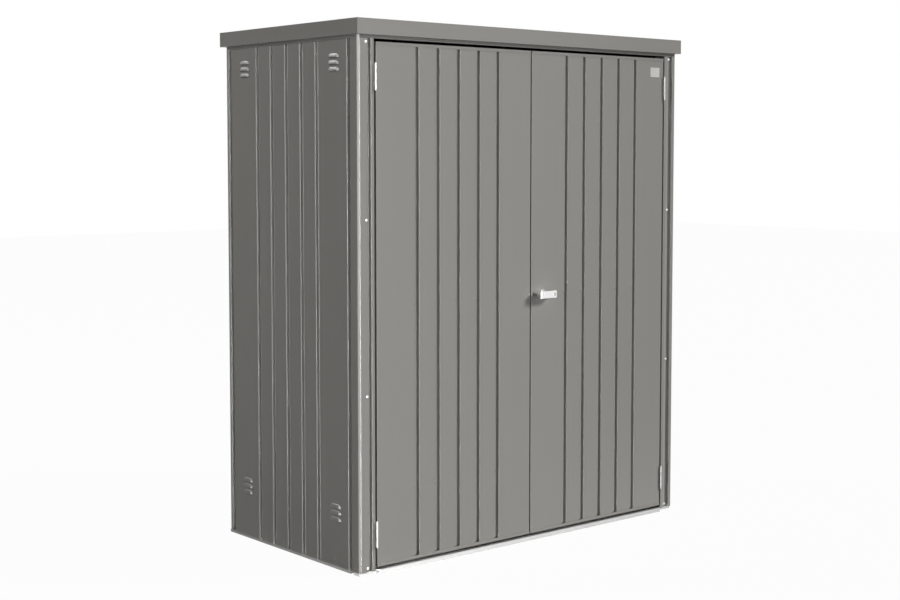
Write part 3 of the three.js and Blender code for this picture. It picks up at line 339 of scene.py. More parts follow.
def rgba(colour, gain=1.0):
    """A colour, brightened or dimmed, as the nodes take it."""
    return (colour[0] * gain, colour[1] * gain, colour[2] * gain, 1.0)


# Settings that a user would change

def length(name, description, size):
    """A length setting, given in millimetres."""
    return bpy.props.FloatProperty(
        name=name, description=description, unit="LENGTH", default=size * MM, min=0.0)


def share(name, description, default, most=1.0):
    """A setting from 0 up to 1, or up to most."""
    return bpy.props.FloatProperty(
        name=name, description=description, subtype="FACTOR", default=default, min=0.0, max=most)


def tone(name, description, colour):
    """A colour setting."""
    return bpy.props.FloatVectorProperty(
        name=name, description=description, subtype="COLOR", default=colour, min=0.0, max=1.0)


def power(name, description, watts):
    """A lamp's power."""
    return bpy.props.FloatProperty(
        name=name, description=description, unit="POWER", default=watts, min=0.0)


def glow(name, description, strength):
    """A panel's brightness, where 1 is white."""
    return bpy.props.FloatProperty(name=name, description=description, default=strength, min=0.0)


class CabinetPaint(bpy.types.PropertyGroup):
    """The grey coating on the sheets."""

    colour: tone("Colour", "Colour of the coating", (0.265, 0.259, 0.240))
    metal: share("Metal", "How metallic the coating is", 0.05)
    roughness: share("Roughness", "Roughness of the coating", 0.22)
    coat: share("Clear coat", "Weight of the clear top coat", 0.0)
    coat_roughness: share("Coat roughness", "Roughness of the clear top coat", 0.22)
    waviness: length("Waviness", "Depth of the slow waves in the flat sheets", 0.02)
    peel: length("Orange peel", "Depth of the coating's fine grain", 0.004)
    dust: share("Dust", "Dust on surfaces that face up", 0.3)
    splash: share("Splashes", "Dried splashes near the ground", 0.22)


class CabinetFasteners(bpy.types.PropertyGroup):
    """Rivets and screws."""

    rivet_radius: length("Rivet radius", "Radius of a rivet head", 3.2)
    rivet_height: length("Rivet height", "How far a rivet head stands out", 1.4)
    rivet_offset: length("Rivet offset", "From a groove's centre to its rivets", 13)
    screw_radius: length("Screw radius", "Radius of a post screw's flange", 4.5)
    screw_height: length("Screw height", "How far a post screw stands out", 2.6)


class CabinetPlate(bpy.types.PropertyGroup):
    """The bare plate near the top of the right door."""

    width: length("Width", "Width of the plate", 49.5)
    height: length("Height", "Height of the plate", 36)
    thickness: length("Thickness", "How far the plate stands out", 0.9)
    seat: length("Seat", "How deep the plate sits in the coating", 0.05)
    from_side: length("From the side", "From the door's outer edge", 22.4)
    from_top: length("From the top", "From the door's top edge", 35.5)
    corner: length("Corner", "Radius of the corners", 2.5)
    rim: length("Rim", "Width of the raised rim", 1.6)
    recess: length("Recess", "Depth of the field inside the rim", 0.3)
    rounding: length("Rounding", "Rounding of the outer edge", 0.25)


class CabinetHinges(bpy.types.PropertyGroup):
    """Sizes of the hinges."""

    knuckle_radius: length("Knuckle radius", "Radius of the knuckles", 4.5)
    knuckle_gap: length("Knuckle gap", "Gap between two knuckles", 0.3)
    knuckle_rim: length("Knuckle rim", "Rounding of a knuckle's ends", 0.5)
    leaf_offset: length("Leaf offset", "From the axis to a leaf's outer face", 3.7)
    leaf_thickness: length("Leaf thickness", "Thickness of a leaf", 1.6)
    leaf_corner: length("Leaf corner", "Radius of a leaf's corners", 1.2)
    leaf_proud: length("Leaf proud", "How far a leaf stands out of the front", 0.2)
    web_start: length("Web start", "From the axis back to the web", 2.2)
    web_rounding: length("Web rounding", "Rounding of the web's upright edges", 0.2)
    pin_radius: length("Pin radius", "Radius of the pin", 2.0)
    pin_clearance: length("Pin clearance", "Gap round the pin", 0.15)
    head_height: length("Head height", "Height of the pin's head", 1.5)
    head_rim: share("Head rim", "Upright share of the head's height, under its dome", 0.35)


class CabinetHandle(bpy.types.PropertyGroup):
    """Sizes of the lever, its rose and the lock barrel."""

    lever_corner: length("Lever corner", "Radius of the lever's corners", 5.0)
    lever_rim: length("Lever rim", "Rounding of the lever's rims", 2.0)
    lever_waist: length("Lever waist", "How much the lever narrows at its middle", 1.0)
    neck_length: length("Neck length", "Length of the lever's neck", 6.2)
    neck_radius: length("Neck radius", "Radius of the lever's neck", 14.0)
    neck_chamfer: length("Neck chamfer", "Chamfer of the neck's end", 0.4)
    socket: length("Socket", "Width of the square socket for the spindle", 8.6)
    play: length("Play", "Gap between parts that turn in each other", 0.3)
    bore_mouth: length("Bore mouth", "Countersink round the lock barrel", 0.6)
    rose_rim: length("Rose rim", "Rounding of the rose's rim", 1.5)
    rose_bore: length("Rose bore", "Radius of the rose's hole", 6.5)
    rose_chamfer: length("Rose chamfer", "Chamfer of the rose's hole", 0.3)
    barrel_rim: length("Barrel rim", "Rounding of the lock barrel's rim", 0.6)
    slot_width: length("Slot width", "Width of the key slot", 1.4)
    slot_length: length("Slot length", "Length of the key slot", 7.0)
    slot_depth: length("Slot depth", "Depth of the key slot", 4.0)
    slot_rounding: length("Slot rounding", "Radius of the key slot's corners", 0.3)


class CabinetStudio(bpy.types.PropertyGroup):
    """Floor, lamps and surroundings. Lamps and panels have the names of their cards."""

    floor: tone("Floor", "Colour of the floor", (0.45, 0.45, 0.45))
    ambient: share("Surroundings", "Light from the white surroundings", 0.05, 2.0)
    key_lamp: power("Key lamp", "Power of the large soft lamp", 40200.0)
    side_lamp: power("Side lamp", "Power of the lamp on the left", 450.0)
    edge_strip: glow("Edge strip", "Strip that the left corner post mirrors", 36.0)
    front_softbox: glow("Front softbox", "Panel that the doors' grooves mirror", 6.0)
    side_softbox: glow("Side softbox", "Panel that the left wall's grooves mirror", 7.2)
    top_softbox: glow("Top softbox", "Panel that the roof mirrors", 8.0)
    rear_flag: glow("Rear flag", "Dim panel behind the cabinet", 0.3)
    front_flag: glow("Front flag", "Dim panel before the left corner", 0.2)
    right_flag: glow("Right flag", "Dim panel before the right corner", 0.3)


# Finishes

def sheet_coating():
    """Grey coating with fine flake and slow waves, dusty above and splashed at the foot."""
    paint = bpy.context.scene.cabinet_paint
    finish = Finish("sheet_coating")
    flake = finish.cells(scale=2600.0)
    mottle = finish.cloud(scale=2.1, detail=3.0)
    roll = finish.cloud(scale=9.0, detail=3.0, stretch=(5.0, 5.0, 0.12))
    body = finish.node(
        "ShaderNodeVectorMath", {"operation": "SCALE"},
        {0: tuple(paint.colour), "Scale": 0.975 + flake * 0.02 + mottle * 0.015 + roll * 0.015},
        output="Vector")
    up = finish.facing_up().above(0.5, 0.9)
    grit = finish.cloud(scale=14.0, detail=5.0).above(0.15, 0.95)
    dust = (up * grit * paint.dust).clipped()
    low = 1 - finish.height().above(0.0, SPLASH_TOP)
    drops = finish.cloud(scale=38.0, detail=5.0).above(0.45, 0.75)
    splash = (low * drops * paint.splash).clipped()
    skin = finish.tint(dust, body, rgba(DUST))
    skin = finish.tint(splash, skin, rgba(DRIED_SPLASH))
    wave = finish.cloud(scale=1.0, detail=1.0, stretch=(3.4, 3.4, 1.3))
    peel = finish.cloud(scale=620.0, detail=2.0)
    waves = finish.bump(wave, paint.waviness, strength=1.0)
    normal = finish.bump(peel, paint.peel, strength=0.5, under=waves)
    roughness = paint.roughness - 0.03 + mottle * 0.04 + up * 0.12 + dust * 0.2 + splash * 0.4
    return finish.close(
        Base_Color=skin, Roughness=roughness.clipped(), Metallic=paint.metal, Normal=normal,
        Coat_Weight=paint.coat, Coat_Roughness=paint.coat_roughness)


def extruded_aluminium(name, stretch, gain):
    """Drawn aluminium with die lines along one axis, soiled at the foot."""
    finish = Finish(name)
    lines = finish.cloud(scale=420.0, detail=3.0, stretch=stretch)
    stain = finish.cloud(scale=7.0, detail=4.0)
    specks = finish.cloud(scale=90.0, detail=4.0).above(0.4, 0.8)
    soil = (1 - finish.height().above(0.0, SOIL_TOP)) * specks * 0.3
    colour = finish.tint(soil, finish.tones(lines, "aluminium", gain), rgba(FOOT_SOIL))
    return finish.close(
        Base_Color=colour, Roughness=0.30 + lines * 0.12 + stain * 0.06, Metallic=0.9,
        Normal=finish.bump(lines, 0.03 * MM, strength=0.6))


def sill_metal():
    """The bright rails and threshold, drawn across the front and the rear."""
    return extruded_aluminium("sill_metal", stretch=(0.02, 1.0, 1.0), gain=1.0)


def side_rail_metal():
    """The rails under the side walls, drawn from front to rear, in the same aluminium at half
    brightness: painted shade for the less lit sides.
    """
    # half brightness here is painted shade, not a duller metal
    return extruded_aluminium("side_rail_metal", stretch=(1.0, 0.02, 1.0), gain=0.5)


def zinc_coated():
    """Spangled zinc with a dull bloom."""
    finish = Finish("zinc_coated")
    spangle = finish.cells(scale=95.0)
    fine = finish.cloud(scale=420.0, detail=3.0)
    bloom = finish.cloud(scale=6.0, detail=4.0).above(0.5, 0.8) * 0.35
    colour = finish.tint(bloom, finish.tones(spangle, "zinc"), rgba(ZINC_BLOOM))
    return finish.close(
        Base_Color=colour, Roughness=0.42 + spangle * 0.14 + fine * 0.06, Metallic=0.85,
        Normal=finish.bump(fine + spangle * 0.5, 0.02 * MM, strength=0.5))


def hinge_steel():
    """Turned steel under a dark film."""
    finish = Finish("hinge_steel")
    turning = finish.cloud(scale=1300.0, detail=2.0, stretch=(1.0, 1.0, 0.3))
    film = finish.cloud(scale=60.0, detail=4.0).above(0.45, 0.8)
    colour = finish.tint(film * 0.4, finish.tones(turning, "hinge"), rgba(OIL_FILM))
    return finish.close(
        Base_Color=colour, Roughness=0.3 + turning * 0.12 + film * 0.1, Metallic=0.95,
        Normal=finish.bump(turning, 0.01 * MM, strength=0.6))


def handle_chrome():
    """Satin chrome, smeared by hands."""
    finish = Finish("handle_chrome")
    grain = finish.cloud(scale=1400.0, detail=2.0, stretch=(0.2, 1.0, 1.0))
    smear = finish.cloud(scale=85.0, detail=4.0).above(0.5, 0.8)
    return finish.close(
        Base_Color=finish.tones(smear, "chrome"), Roughness=0.16 + grain * 0.06 + smear * 0.08,
        Metallic=1.0, Normal=finish.bump(grain, 0.006 * MM, strength=0.5))


def grained_metal(name, metal, scale, detail, roughness, spread, metallic, depth, strength,
                  stretch=(1.0, 1.0, 1.0)):
    """A bare metal whose colour, roughness and relief all follow one grain."""
    finish = Finish(name)
    grain = finish.cloud(scale, detail, stretch)
    return finish.close(
        Base_Color=finish.tones(grain, metal), Roughness=roughness + grain * spread,
        Metallic=metallic, Normal=finish.bump(grain, depth * MM, strength))


def brushed_stainless():
    return grained_metal(
        "brushed_stainless", "stainless", scale=900.0, detail=3.0, roughness=0.24, spread=0.14,
        metallic=1.0, depth=0.015, strength=0.6, stretch=(1.0, 1.0, 0.05))


def turned_nickel():
    return grained_metal(
        "turned_nickel", "nickel", scale=1100.0, detail=2.0, roughness=0.18, spread=0.1,
        metallic=1.0, depth=0.008, strength=0.5)


def zinc_plated():
    return grained_metal(
        "zinc_plated", "plating", scale=700.0, detail=3.0, roughness=0.26, spread=0.14,
        metallic=0.95, depth=0.01, strength=0.6)


def plate_metal():
    return grained_metal(
        "plate_metal", "plate", scale=700.0, detail=3.0, roughness=0.38, spread=0.1,
        metallic=0.45, depth=0.012, strength=0.5, stretch=(0.06, 1.0, 1.0))


FINISHES = {maker.__name__: maker for maker in (
    sheet_coating, sill_metal, side_rail_metal, zinc_coated, brushed_stainless, hinge_steel,
    handle_chrome, turned_nickel, zinc_plated, plate_metal,
)}


def material(name):
    """A finish by name, made the first time that a piece asks for it."""
    if name not in bpy.data.materials:
        FINISHES[name]()
    return bpy.data.materials[name]


# Shapes

def add_object(name, data):
    """Adds an object to the scene."""
    made = bpy.data.objects.new(name, data)
    bpy.context.scene.collection.objects.link(made)
    return made


def add_mesh(name, form, finish=None):
    """Turns a bmesh into an object and frees it."""
    mesh = bpy.data.meshes.new(name)
    form.to_mesh(mesh)
    form.free()
    if finish:
        mesh.materials.append(finish)
    return add_object(name, mesh)


def close_form(form):
    """Joins touching vertices and turns every face outward."""
    bmesh.ops.remove_doubles(form, verts=form.verts, dist=MERGE)
    bmesh.ops.recalc_face_normals(form, faces=form.faces)


def shade(form, sharp=FORM_ANGLE):
    """Shades a form smoothly, with an edge wherever its faces turn this far or further."""
    for face in form.faces:
        face.smooth = True
    for edge in form.edges:
        edge.smooth = edge.calc_face_angle(math.pi) < sharp


def make_piece(form, name, body, finish, replaced=(), sharp=FORM_ANGLE):
    """Turns a bmesh into a piece that rides on a body."""
    close_form(form)
    shade(form, sharp)
    piece = add_mesh(name, form, material(finish))
    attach(piece, body)
    if replaced:
        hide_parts(*replaced)
    return piece


def keep_flats_flat(piece):
    """Lets the large faces rule the shading of the small ones beside them."""
    flat = piece.modifiers.new("flat faces", "WEIGHTED_NORMAL")
    flat.mode = "FACE_AREA"
    flat.weight = 100
    flat.keep_sharp = True


def spun(form, profile, centre, axis, steps=ROUND_STEPS):
    """Adds a turned shape: profile points are (radius, height along the axis)."""
    others = set(form.verts)
    verts = [form.verts.new(Vector((radius, 0.0, height))) for radius, height in profile]
    edges = [form.edges.new(pair) for pair in zip(verts, verts[1:])]
    bmesh.ops.spin(
        form, geom=verts + edges, cent=(0, 0, 0), axis=(0, 0, 1), dvec=(0, 0, 0),
        angle=math.tau, steps=steps, use_merge=True, use_duplicate=False)
    turned = [vert for vert in form.verts if vert not in others]
    turn = axis.to_track_quat("Z", "Y").to_matrix().to_4x4()
    bmesh.ops.transform(form, matrix=Matrix.Translation(centre) @ turn, verts=turned)


def scaled(profile, radius, height):
    """A profile of shares, at its real size."""
    return [(across * radius, along_axis * height) for across, along_axis in profile]


def arc(centre, radius, start, end, steps):
    """Points on an arc of a profile, with angles in degrees."""
    angles = [math.radians(start + (end - start) * i / steps) for i in range(steps + 1)]
    return [(centre[0] + radius * math.cos(a), centre[1] + radius * math.sin(a)) for a in angles]


def block(form, low, high):
    """Adds a box between two corners and gives back its vertices."""
    low, high = Vector(low), Vector(high)
    size = high - low
    place = Matrix.Translation((low + high) / 2) @ Matrix.Diagonal((*size, 1.0))
    return bmesh.ops.create_cube(form, size=1.0, matrix=place)["verts"]


def prism(form, radius, axis, centre, depth, sides):
    """Adds a closed prism along an axis and gives back its vertices."""
    turn = axis.to_track_quat("Z", "Y").to_matrix().to_4x4()
    return bmesh.ops.create_cone(
        form, cap_ends=True, cap_tris=False, segments=sides, radius1=radius, radius2=radius,
        depth=depth, matrix=Matrix.Translation(centre) @ turn)["verts"]


def round_edges(form, edges, radius, segments):
    bmesh.ops.bevel(
        form, geom=list(edges), offset=radius, offset_type="OFFSET", segments=segments,
        profile=0.5, affect="EDGES", material=-1, clamp_overlap=True)


def along(edge, axis):
    """How far an edge runs along an axis."""
    return abs((edge.verts[0].co - edge.verts[1].co).dot(axis))


def edges_of(verts):
    """The edges between these vertices, each once."""
    chosen = set(verts)
    return list(dict.fromkeys(
        edge for vert in verts for edge in vert.link_edges if chosen.issuperset(edge.verts)))


def edges_along(verts, axis):
    """The edges between these vertices that run along an axis, even in part."""
    return [edge for edge in edges_of(verts) if along(edge, axis) > MERGE]


def rims(verts, axis):
    """The edges of a prism's two ends."""
    return [edge for edge in edges_of(verts) if along(edge, axis) < MERGE]


def front_faces(form):
    """The faces that look forward."""
    return [face for face in form.faces if face.normal.dot(FRONT) > 0.9]


def middle(box):
    """The point half way between a box's two corners."""
    low, high = box
    return (low + high) / 2


def combine(piece, form, operation):
    """Joins a closed bmesh to a piece or cuts it out, and keeps the result as its mesh."""
    close_form(form)
    shade(form)
    tool = add_mesh("tool", form)
    step = piece.modifiers.new("step", "BOOLEAN")
    step.operation = operation
    step.solver = "EXACT"
    step.object = tool
    bpy.context.view_layer.update()
    seen = piece.evaluated_get(bpy.context.evaluated_depsgraph_get())
    result = bpy.data.meshes.new_from_object(seen)
    piece.modifiers.remove(step)
    piece.data = result
    result.name = piece.name
    joined = bmesh.new()
    joined.from_mesh(result)
    shade(joined)
    joined.to_mesh(result)
    joined.free()
    mesh = tool.data
    bpy.data.objects.remove(tool)
    bpy.data.meshes.remove(mesh)


# Sheets and rails

class CabinetStep:
    """What the cabinet's operators share."""

    bl_options = {"REGISTER", "UNDO"}


class CABINET_OT_sheets(CabinetStep, bpy.types.Operator):
    """Copy the painted sheets with soft folds and give them their coating"""

    bl_idname = "cabinet.sheets"
    bl_label = "Painted sheets"

    def execute(self, context):
        for body, nodes in PAINTED_SHEETS.items():
            for node in nodes:
                form = bmesh.new()
                form.from_mesh(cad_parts[node].data)
                bmesh.ops.remove_doubles(form, verts=form.verts, dist=MERGE)
                bmesh.ops.dissolve_limit(
                    form, angle_limit=FLAT_ANGLE, verts=form.verts, edges=form.edges)
                keep_flats_flat(make_piece(
                    form, f"{node}_coated", body, "sheet_coating", (node,),
                    FOLD_ANGLE))
        return {"FINISHED"}


class CABINET_OT_metalwork(CabinetStep, bpy.types.Operator):
    """Give the rails, shelves, bars, bolts and rods their metal finishes"""

    bl_idname = "cabinet.metalwork"
    bl_label = "Bare metalwork"

    def execute(self, context):
        for finish, nodes in PLAIN_NODES.items():
            for node in nodes:
                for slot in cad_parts[node].material_slots:
                    slot.material = material(finish)
        return {"FINISHED"}


# Fasteners and the plate

class CABINET_OT_rivets(CabinetStep, bpy.types.Operator):
    """Rivet the doors' bars to their skins beside each groove"""

    bl_idname = "cabinet.rivets"
    bl_label = "Door rivets"

    def execute(self, context):
        sizes = context.scene.cabinet_fasteners
        profile = scaled(RIVET_PROFILE, sizes.rivet_radius, sizes.rivet_height)
        for side in SIDES:
            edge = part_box(f"{side}_door_skin")[0].x
            heights = [middle(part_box(f"{side}_door_{level}_crossbar")).z for level in DOOR_LEVELS]
            form = bmesh.new()
            for i in range(GROOVES):
                groove = edge + FIRST_GROOVE + GROOVE_PITCH * i
                for z in heights:
                    place = Vector((groove - sizes.rivet_offset, FRONT_Y, z))
                    spun(form, profile, place, FRONT)
            make_piece(
                form, f"{side}_door_rivets", f"{side}_door", "sheet_coating")
        return {"FINISHED"}


class CABINET_OT_screws(CabinetStep, bpy.types.Operator):
    """Screw the front posts to the rails behind them"""

    bl_idname = "cabinet.screws"
    bl_label = "Post screws"

    def execute(self, context):
        sizes = context.scene.cabinet_fasteners
        radius, height = sizes.screw_radius, sizes.screw_height
        flange = scaled(SCREW_FLANGE, radius, height)
        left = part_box("front_left_post")[0].x + LEFT_SCREW_INSET
        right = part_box("front_right_post")[1].x - RIGHT_SCREW_INSET
        form = bmesh.new()
        for x in (left, right):
            for z in SCREW_HEIGHTS:
                spun(form, flange, Vector((x, FRONT_Y, z)), FRONT)
                head = prism(
                    form, HEXAGON_RADIUS * radius, FRONT,
                    Vector((x, FRONT_Y - HEXAGON_MIDDLE * height, z)),
                    HEXAGON_HEIGHT * height, sides=6)
                round_edges(form, rims(head, FRONT), HEXAGON_ROUNDING * radius, segments=2)
        make_piece(form, "post_screws", "cabinet", "zinc_plated")
        return {"FINISHED"}


class CABINET_OT_badge(CabinetStep, bpy.types.Operator):
    """Fix the bare plate near the top of the right door"""

    bl_idname = "cabinet.badge"
    bl_label = "Bare plate"

    def execute(self, context):
        sizes = context.scene.cabinet_plate
        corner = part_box("right_door_skin")[1]
        right, top = corner.x - sizes.from_side, corner.z - sizes.from_top
        front = FRONT_Y - sizes.thickness
        form = bmesh.new()
        verts = block(
            form, (right - sizes.width, front, top - sizes.height),
            (right, FRONT_Y + sizes.seat, top))
        round_edges(form, edges_along(verts, FRONT), sizes.corner, segments=6)
        rim = bmesh.ops.inset_region(form, faces=front_faces(form), thickness=sizes.rim)
        field = [face for face in front_faces(form) if face not in rim["faces"]]
        bmesh.ops.translate(
            form, verts=list({vert for face in field for vert in face.verts}),
            vec=-FRONT * sizes.recess)
        outline = [edge for edge in form.edges
                   if all(abs(vert.co.y - front) < MERGE for vert in edge.verts)
                   and edge.calc_face_angle(0.0) > RIM_ANGLE]
        round_edges(form, outline, sizes.rounding, segments=2)
        make_piece(form, "badge_plate", "right_door", "plate_metal")
        return {"FINISHED"}


# Hinges and handle

class CABINET_OT_hinges(CabinetStep, bpy.types.Operator):
    """Turn the hinges' knuckles and pins and set the knuckles on their leaves"""

    bl_idname = "cabinet.hinges"
    bl_label = "Hinges"

    def execute(self, context):
        self.sizes = context.scene.cabinet_hinges
        for side, outward in zip(SIDES, (-1, 1)):
            for level in ("upper", "lower"):
                self.hinge(f"{side}_{level}_hinge", f"{side}_door", outward)
        return {"FINISHED"}

    def hinge(self, name, door, outward):
        low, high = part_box(f"{name}_frame_leaf")
        axis = Vector(((low.x + high.x) / 2, low.y + self.sizes.knuckle_radius, 0.0))
        third = (high.z - low.z) / 3
        lower, upper = low.z + third, high.z - third
        gap = self.sizes.knuckle_gap / 2
        outer_knuckles = [(low.z, lower - gap), (upper + gap, high.z)]
        middle_knuckle = [(lower + gap, upper - gap)]
        span = (low.z, high.z)
        self.leaf(f"{name}_frame_leaf", "cabinet", axis, outward, span, high.y, outer_knuckles)
        self.leaf(f"{name}_door_leaf", door, axis, -outward, span, high.y, middle_knuckle)
        self.pin(f"{name}_pin", axis)

    def leaf(self, node, body, axis, side, span, rear, knuckles):
        """A plate on one side of the axis, with its knuckles and the webs that hold them."""
        sizes = self.sizes
        outer = axis.x + side * sizes.leaf_offset
        left, right = sorted((outer, outer - side * sizes.leaf_thickness))
        form = bmesh.new()
        plate = block(
            form, (left, FRONT_Y - sizes.leaf_proud, span[0]), (right, rear, span[1]))
        round_edges(form, edges_along(plate, ACROSS), sizes.leaf_corner, segments=4)
        for low, high in knuckles:
            self.knuckle(form, axis, low, high)
            web = block(form, (left, axis.y + sizes.web_start, low), (right, FRONT_Y, high))
            round_edges(form, edges_along(web, UP), sizes.web_rounding, segments=2)
        keep_flats_flat(make_piece(
            form, f"{node}_plated", body, "hinge_steel", (node,)))

    def knuckle(self, form, axis, low, high):
        rim = self.sizes.knuckle_rim
        inner = self.sizes.knuckle_radius - rim
        bore = self.sizes.pin_radius + self.sizes.pin_clearance
        profile = [(bore, low)]
        profile += arc((inner, low + rim), rim, -90, 0, steps=3)
        profile += arc((inner, high - rim), rim, 0, 90, steps=3)
        profile += [(bore, high), (bore, low)]
        spun(form, profile, axis, UP)

    def pin(self, node, axis):
        """A pin with a domed head, standing in the knuckles."""
        low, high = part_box(node)
        radius, head = self.sizes.pin_radius, (high.x - low.x) / 2
        height, rim = self.sizes.head_height, self.sizes.head_rim
        neck = high.z - height
        profile = [(0.0, low.z), (radius, low.z), (radius, neck), (head, neck)]
        profile += [(head * wide, neck + height * (rim + (1 - rim) * tall))
                    for wide, tall in arc((0.0, 0.0), 1.0, 0, 90, steps=6)]
        form = bmesh.new()
        spun(form, profile, axis, UP)
        make_piece(form, f"{node}_plated", "cabinet", "hinge_steel", (node,))


class CABINET_OT_handle(CabinetStep, bpy.types.Operator):
    """Shape the lever, its rose and the lock barrel"""

    bl_idname = "cabinet.handle"
    bl_label = "Handle and lock"

    def execute(self, context):
        self.sizes = context.scene.cabinet_handle
        self.rose()
        self.lever()
        self.barrel()
        return {"FINISHED"}

    def rose(self):
        low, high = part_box("handle_rose")
        centre = Vector(((low.x + high.x) / 2, high.y, (low.z + high.z) / 2))
        radius, depth = (high.x - low.x) / 2, high.y - low.y
        bore, rim, chamfer = self.sizes.rose_bore, self.sizes.rose_rim, self.sizes.rose_chamfer
        profile = [(bore, 0.0), (radius, 0.0)]
        profile += arc((radius - rim, depth - rim), rim, 0, 90, steps=6)
        profile += [(bore + chamfer, depth), (bore, depth - chamfer), (bore, 0.0)]
        form = bmesh.new()
        spun(form, profile, centre, FRONT, FINE_ROUND_STEPS)
        make_piece(form, "handle_rose_plated", "right_door", "handle_chrome",
                   ("handle_rose",))

    def lever(self):
        low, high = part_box("handle_lever")
        rear = high.y - self.sizes.neck_length
        piece = make_piece(
            self.grip(low, (high.x, rear, high.z)), "handle_lever_plated", "handle",
            "handle_chrome", ("handle_lever",))
        pivot = middle((low, high))
        pivot.y = 0.0  # turned profiles are given in depths from here
        combine(piece, self.neck(pivot, rear, high.y), "UNION")
        combine(piece, self.spindle_socket(pivot, high.y), "DIFFERENCE")
        combine(piece, self.barrel_bore(pivot, low.y), "DIFFERENCE")
        keep_flats_flat(piece)

    def grip(self, low, high):
        """The lever's bar: round corners, narrowed towards its middle, and soft rims."""
        sizes = self.sizes
        form = bmesh.new()
        bar = block(form, low, high)
        centre = middle((low, Vector(high)))
        reach = (high[0] - low.x) / 2 - sizes.lever_corner
        round_edges(form, edges_along(bar, FRONT), sizes.lever_corner, segments=8)
        long_edges = [edge for edge in form.edges if along(edge, ACROSS) > reach]
        bmesh.ops.subdivide_edges(form, edges=long_edges, cuts=15, use_grid_fill=True)
        for vert in form.verts:
            from_middle = min(abs(vert.co.x - centre.x) / reach, 1.0)
            upward = math.copysign(1.0, vert.co.z - centre.z)
            vert.co.z -= upward * sizes.lever_waist * (1 - from_middle ** 2)
        rim = [edge for edge in form.edges
               if along(edge, FRONT) < MERGE and edge.calc_face_angle(0.0) > RIM_ANGLE]
        round_edges(form, rim, sizes.lever_rim, segments=5)
        return form

    def neck(self, pivot, rear, end):
        """The round stem between the bar and the rose."""
        radius, chamfer = self.sizes.neck_radius, self.sizes.neck_chamfer
        start = rear - self.sizes.lever_rim
        form = bmesh.new()
        spun(form, [
            (0.0, start), (radius, start), (radius, end - chamfer), (radius - chamfer, end),
            (0.0, end),
        ], pivot, -FRONT, FINE_ROUND_STEPS)
        return form

    def spindle_socket(self, pivot, end):
        """The square hole that takes the spindle, open to the rear."""
        half = self.sizes.socket / 2
        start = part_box("spindle_pinion")[0].y - self.sizes.play
        form = bmesh.new()
        block(form, (pivot.x - half, start, pivot.z - half),
              (pivot.x + half, end + MM, pivot.z + half))
        return form

    def barrel_bore(self, pivot, face):
        """The countersunk hole that takes the lock barrel, open to the front."""
        low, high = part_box("lock_barrel")
        radius, mouth = (high.x - low.x) / 2 + self.sizes.play, self.sizes.bore_mouth
        end = high.y + self.sizes.play
        form = bmesh.new()
        spun(form, [
            (0.0, face - MM), (radius + mouth + MM, face - MM), (radius, face + mouth),
            (radius, end), (0.0, end),
        ], Vector(((low.x + high.x) / 2, 0.0, pivot.z)), -FRONT)
        return form

    def barrel(self):
        sizes = self.sizes
        low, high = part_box("lock_barrel")
        centre = Vector(((low.x + high.x) / 2, 0.0, (low.z + high.z) / 2))
        radius, rim = (high.x - low.x) / 2, sizes.barrel_rim
        profile = [(0.0, low.y)]
        profile += arc((radius - rim, low.y + rim), rim, -90, 0, steps=4)
        profile += [(radius, high.y), (0.0, high.y)]
        form = bmesh.new()
        spun(form, profile, centre, -FRONT)
        piece = make_piece(form, "lock_barrel_plated", "key_barrel",
                           "turned_nickel", ("lock_barrel",))
        wide, tall = sizes.slot_width / 2, sizes.slot_length / 2
        slot = bmesh.new()
        cut = block(slot, (centre.x - wide, low.y - MM, centre.z - tall),
                    (centre.x + wide, low.y + sizes.slot_depth, centre.z + tall))
        round_edges(slot, edges_along(cut, FRONT), sizes.slot_rounding, segments=3)
        combine(piece, slot, "DIFFERENCE")
        keep_flats_flat(piece)


# Studio

def area_lamp(name, card, watts):
    """A soft lamp that reflections don't see."""
    light = bpy.data.lights.new(name, "AREA")
    light.shape = "RECTANGLE"
    light.size, light.size_y = card.width, card.height
    light.energy = watts
    lamp = add_object(name, light)
    lamp.location = card.place
    facing = Vector(card.target) - Vector(card.place)
    lamp.rotation_euler = facing.to_track_quat("-Z", "Y").to_euler()
    lamp.visible_glossy = False


def glow_panel(name, card, strength):
    """A panel that only reflections see."""
    finish = Finish(name)
    finish.surface(finish.node(
        "ShaderNodeEmission", {}, {"Color": rgba(WHITE), "Strength": strength}))
    facing = Vector(card.target) - Vector(card.place)
    turn = facing.to_track_quat("Z", "Y").to_matrix().to_4x4()
    stretch = Matrix.Diagonal((card.width, card.height, 1.0, 1.0))
    form = bmesh.new()
    bmesh.ops.create_grid(form, x_segments=1, y_segments=1, size=0.5,
                          matrix=Matrix.Translation(card.place) @ turn @ stretch)
    panel = add_mesh(name, form, finish.material)
    panel.visible_camera = False
    panel.visible_diffuse = False
    panel.visible_shadow = False


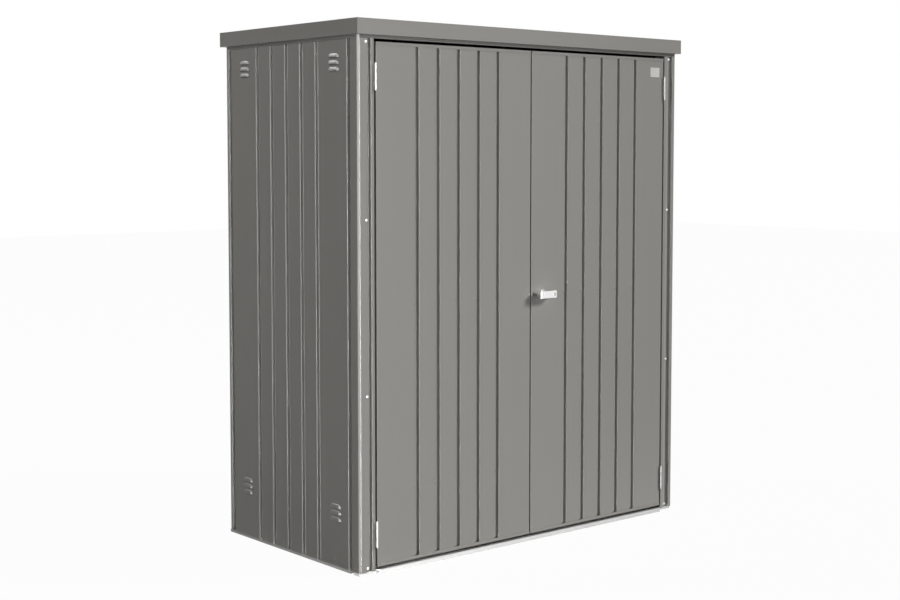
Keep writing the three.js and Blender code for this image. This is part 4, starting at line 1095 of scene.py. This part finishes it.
class CABINET_OT_studio(CabinetStep, bpy.types.Operator):
    """Lay the floor and set up the lamps, the white surroundings and the camera"""

    bl_idname = "cabinet.studio"
    bl_label = "Studio"

    def execute(self, context):
        studio = context.scene.cabinet_studio
        self.floor(studio.floor)
        self.surroundings(studio.ambient)
        for name, card in LAMPS.items():
            area_lamp(name, card, getattr(studio, name))
        for name, card in PANELS.items():
            glow_panel(name, card, getattr(studio, name))
        self.camera()
        context.scene.view_settings.view_transform = "Standard"
        return {"FINISHED"}

    def floor(self, colour):
        finish = Finish("floor_white")
        matt = finish.node("ShaderNodeBsdfDiffuse", {}, {"Color": rgba(colour)})
        white = finish.node("ShaderNodeEmission", {}, {"Color": rgba(WHITE), "Strength": 1.0})
        finish.surface(finish.mixed(finish.plain_rays() * FLOOR_WHITE, matt, white))
        form = bmesh.new()
        bmesh.ops.create_grid(form, x_segments=1, y_segments=1, size=FLOOR_REACH)
        floor = add_mesh("studio_floor", form, finish.material)
        floor.visible_glossy = False

    def surroundings(self, ambient):
        world = bpy.data.worlds.new("surroundings")
        world.use_nodes = True
        bpy.context.scene.world = world
        sky = Nodes(world.node_tree)
        white = sky.node("ShaderNodeBackground", {}, {"Color": rgba(WHITE), "Strength": 1.0})
        soft = sky.node("ShaderNodeBackground", {}, {"Color": rgba(SKY), "Strength": ambient})
        seen = sky.mixed(sky.plain_rays(), soft, white)
        sky.node("ShaderNodeOutputWorld", {}, {"Surface": seen})

    def camera(self):
        lens = bpy.data.cameras.new("photo_camera")
        lens.sensor_width = SENSOR_WIDTH
        lens.lens = SENSOR_WIDTH * FOCAL_PIXELS / PHOTO_WIDTH
        lens.shift_y = LENS_SHIFT
        lens.clip_end = VIEW_REACH
        camera = add_object("photo_camera", lens)
        camera.location = CAMERA_PLACE
        camera.rotation_euler = Euler(
            (math.radians(90 - CAMERA_TILT), 0.0, math.radians(-CAMERA_TURN)))
        bpy.context.scene.camera = camera


class CABINET_PT_panel(bpy.types.Panel):
    """The cabinet's steps, in order"""

    bl_idname = "CABINET_PT_panel"
    bl_label = "Garden cabinet"
    bl_space_type = "VIEW_3D"
    bl_region_type = "UI"
    bl_category = "Cabinet"

    def draw(self, context):
        for settings in SETTINGS:
            group = getattr(context.scene, settings)
            box = self.layout.box()
            for name in group.__annotations__:
                box.prop(group, name)
        for step in STEPS:
            self.layout.operator(step.bl_idname)


STEPS = (
    CABINET_OT_sheets, CABINET_OT_metalwork, CABINET_OT_rivets, CABINET_OT_screws,
    CABINET_OT_badge, CABINET_OT_hinges, CABINET_OT_handle, CABINET_OT_studio,
)
SETTINGS = {
    "cabinet_paint": CabinetPaint,
    "cabinet_fasteners": CabinetFasteners,
    "cabinet_plate": CabinetPlate,
    "cabinet_hinges": CabinetHinges,
    "cabinet_handle": CabinetHandle,
    "cabinet_studio": CabinetStudio,
}


def register():
    for name, group in SETTINGS.items():
        bpy.utils.register_class(group)
        setattr(bpy.types.Scene, name, bpy.props.PointerProperty(type=group))
    for step in STEPS:
        bpy.utils.register_class(step)
    bpy.utils.register_class(CABINET_PT_panel)


def unregister():
    bpy.utils.unregister_class(CABINET_PT_panel)
    for step in reversed(STEPS):
        bpy.utils.unregister_class(step)
    for name, group in reversed(SETTINGS.items()):
        delattr(bpy.types.Scene, name)
        bpy.utils.unregister_class(group)


def main():
    register()
    for step in STEPS:
        group, name = step.bl_idname.split(".")
        getattr(getattr(bpy.ops, group), name)()


if __name__ == "__main__":
    main()
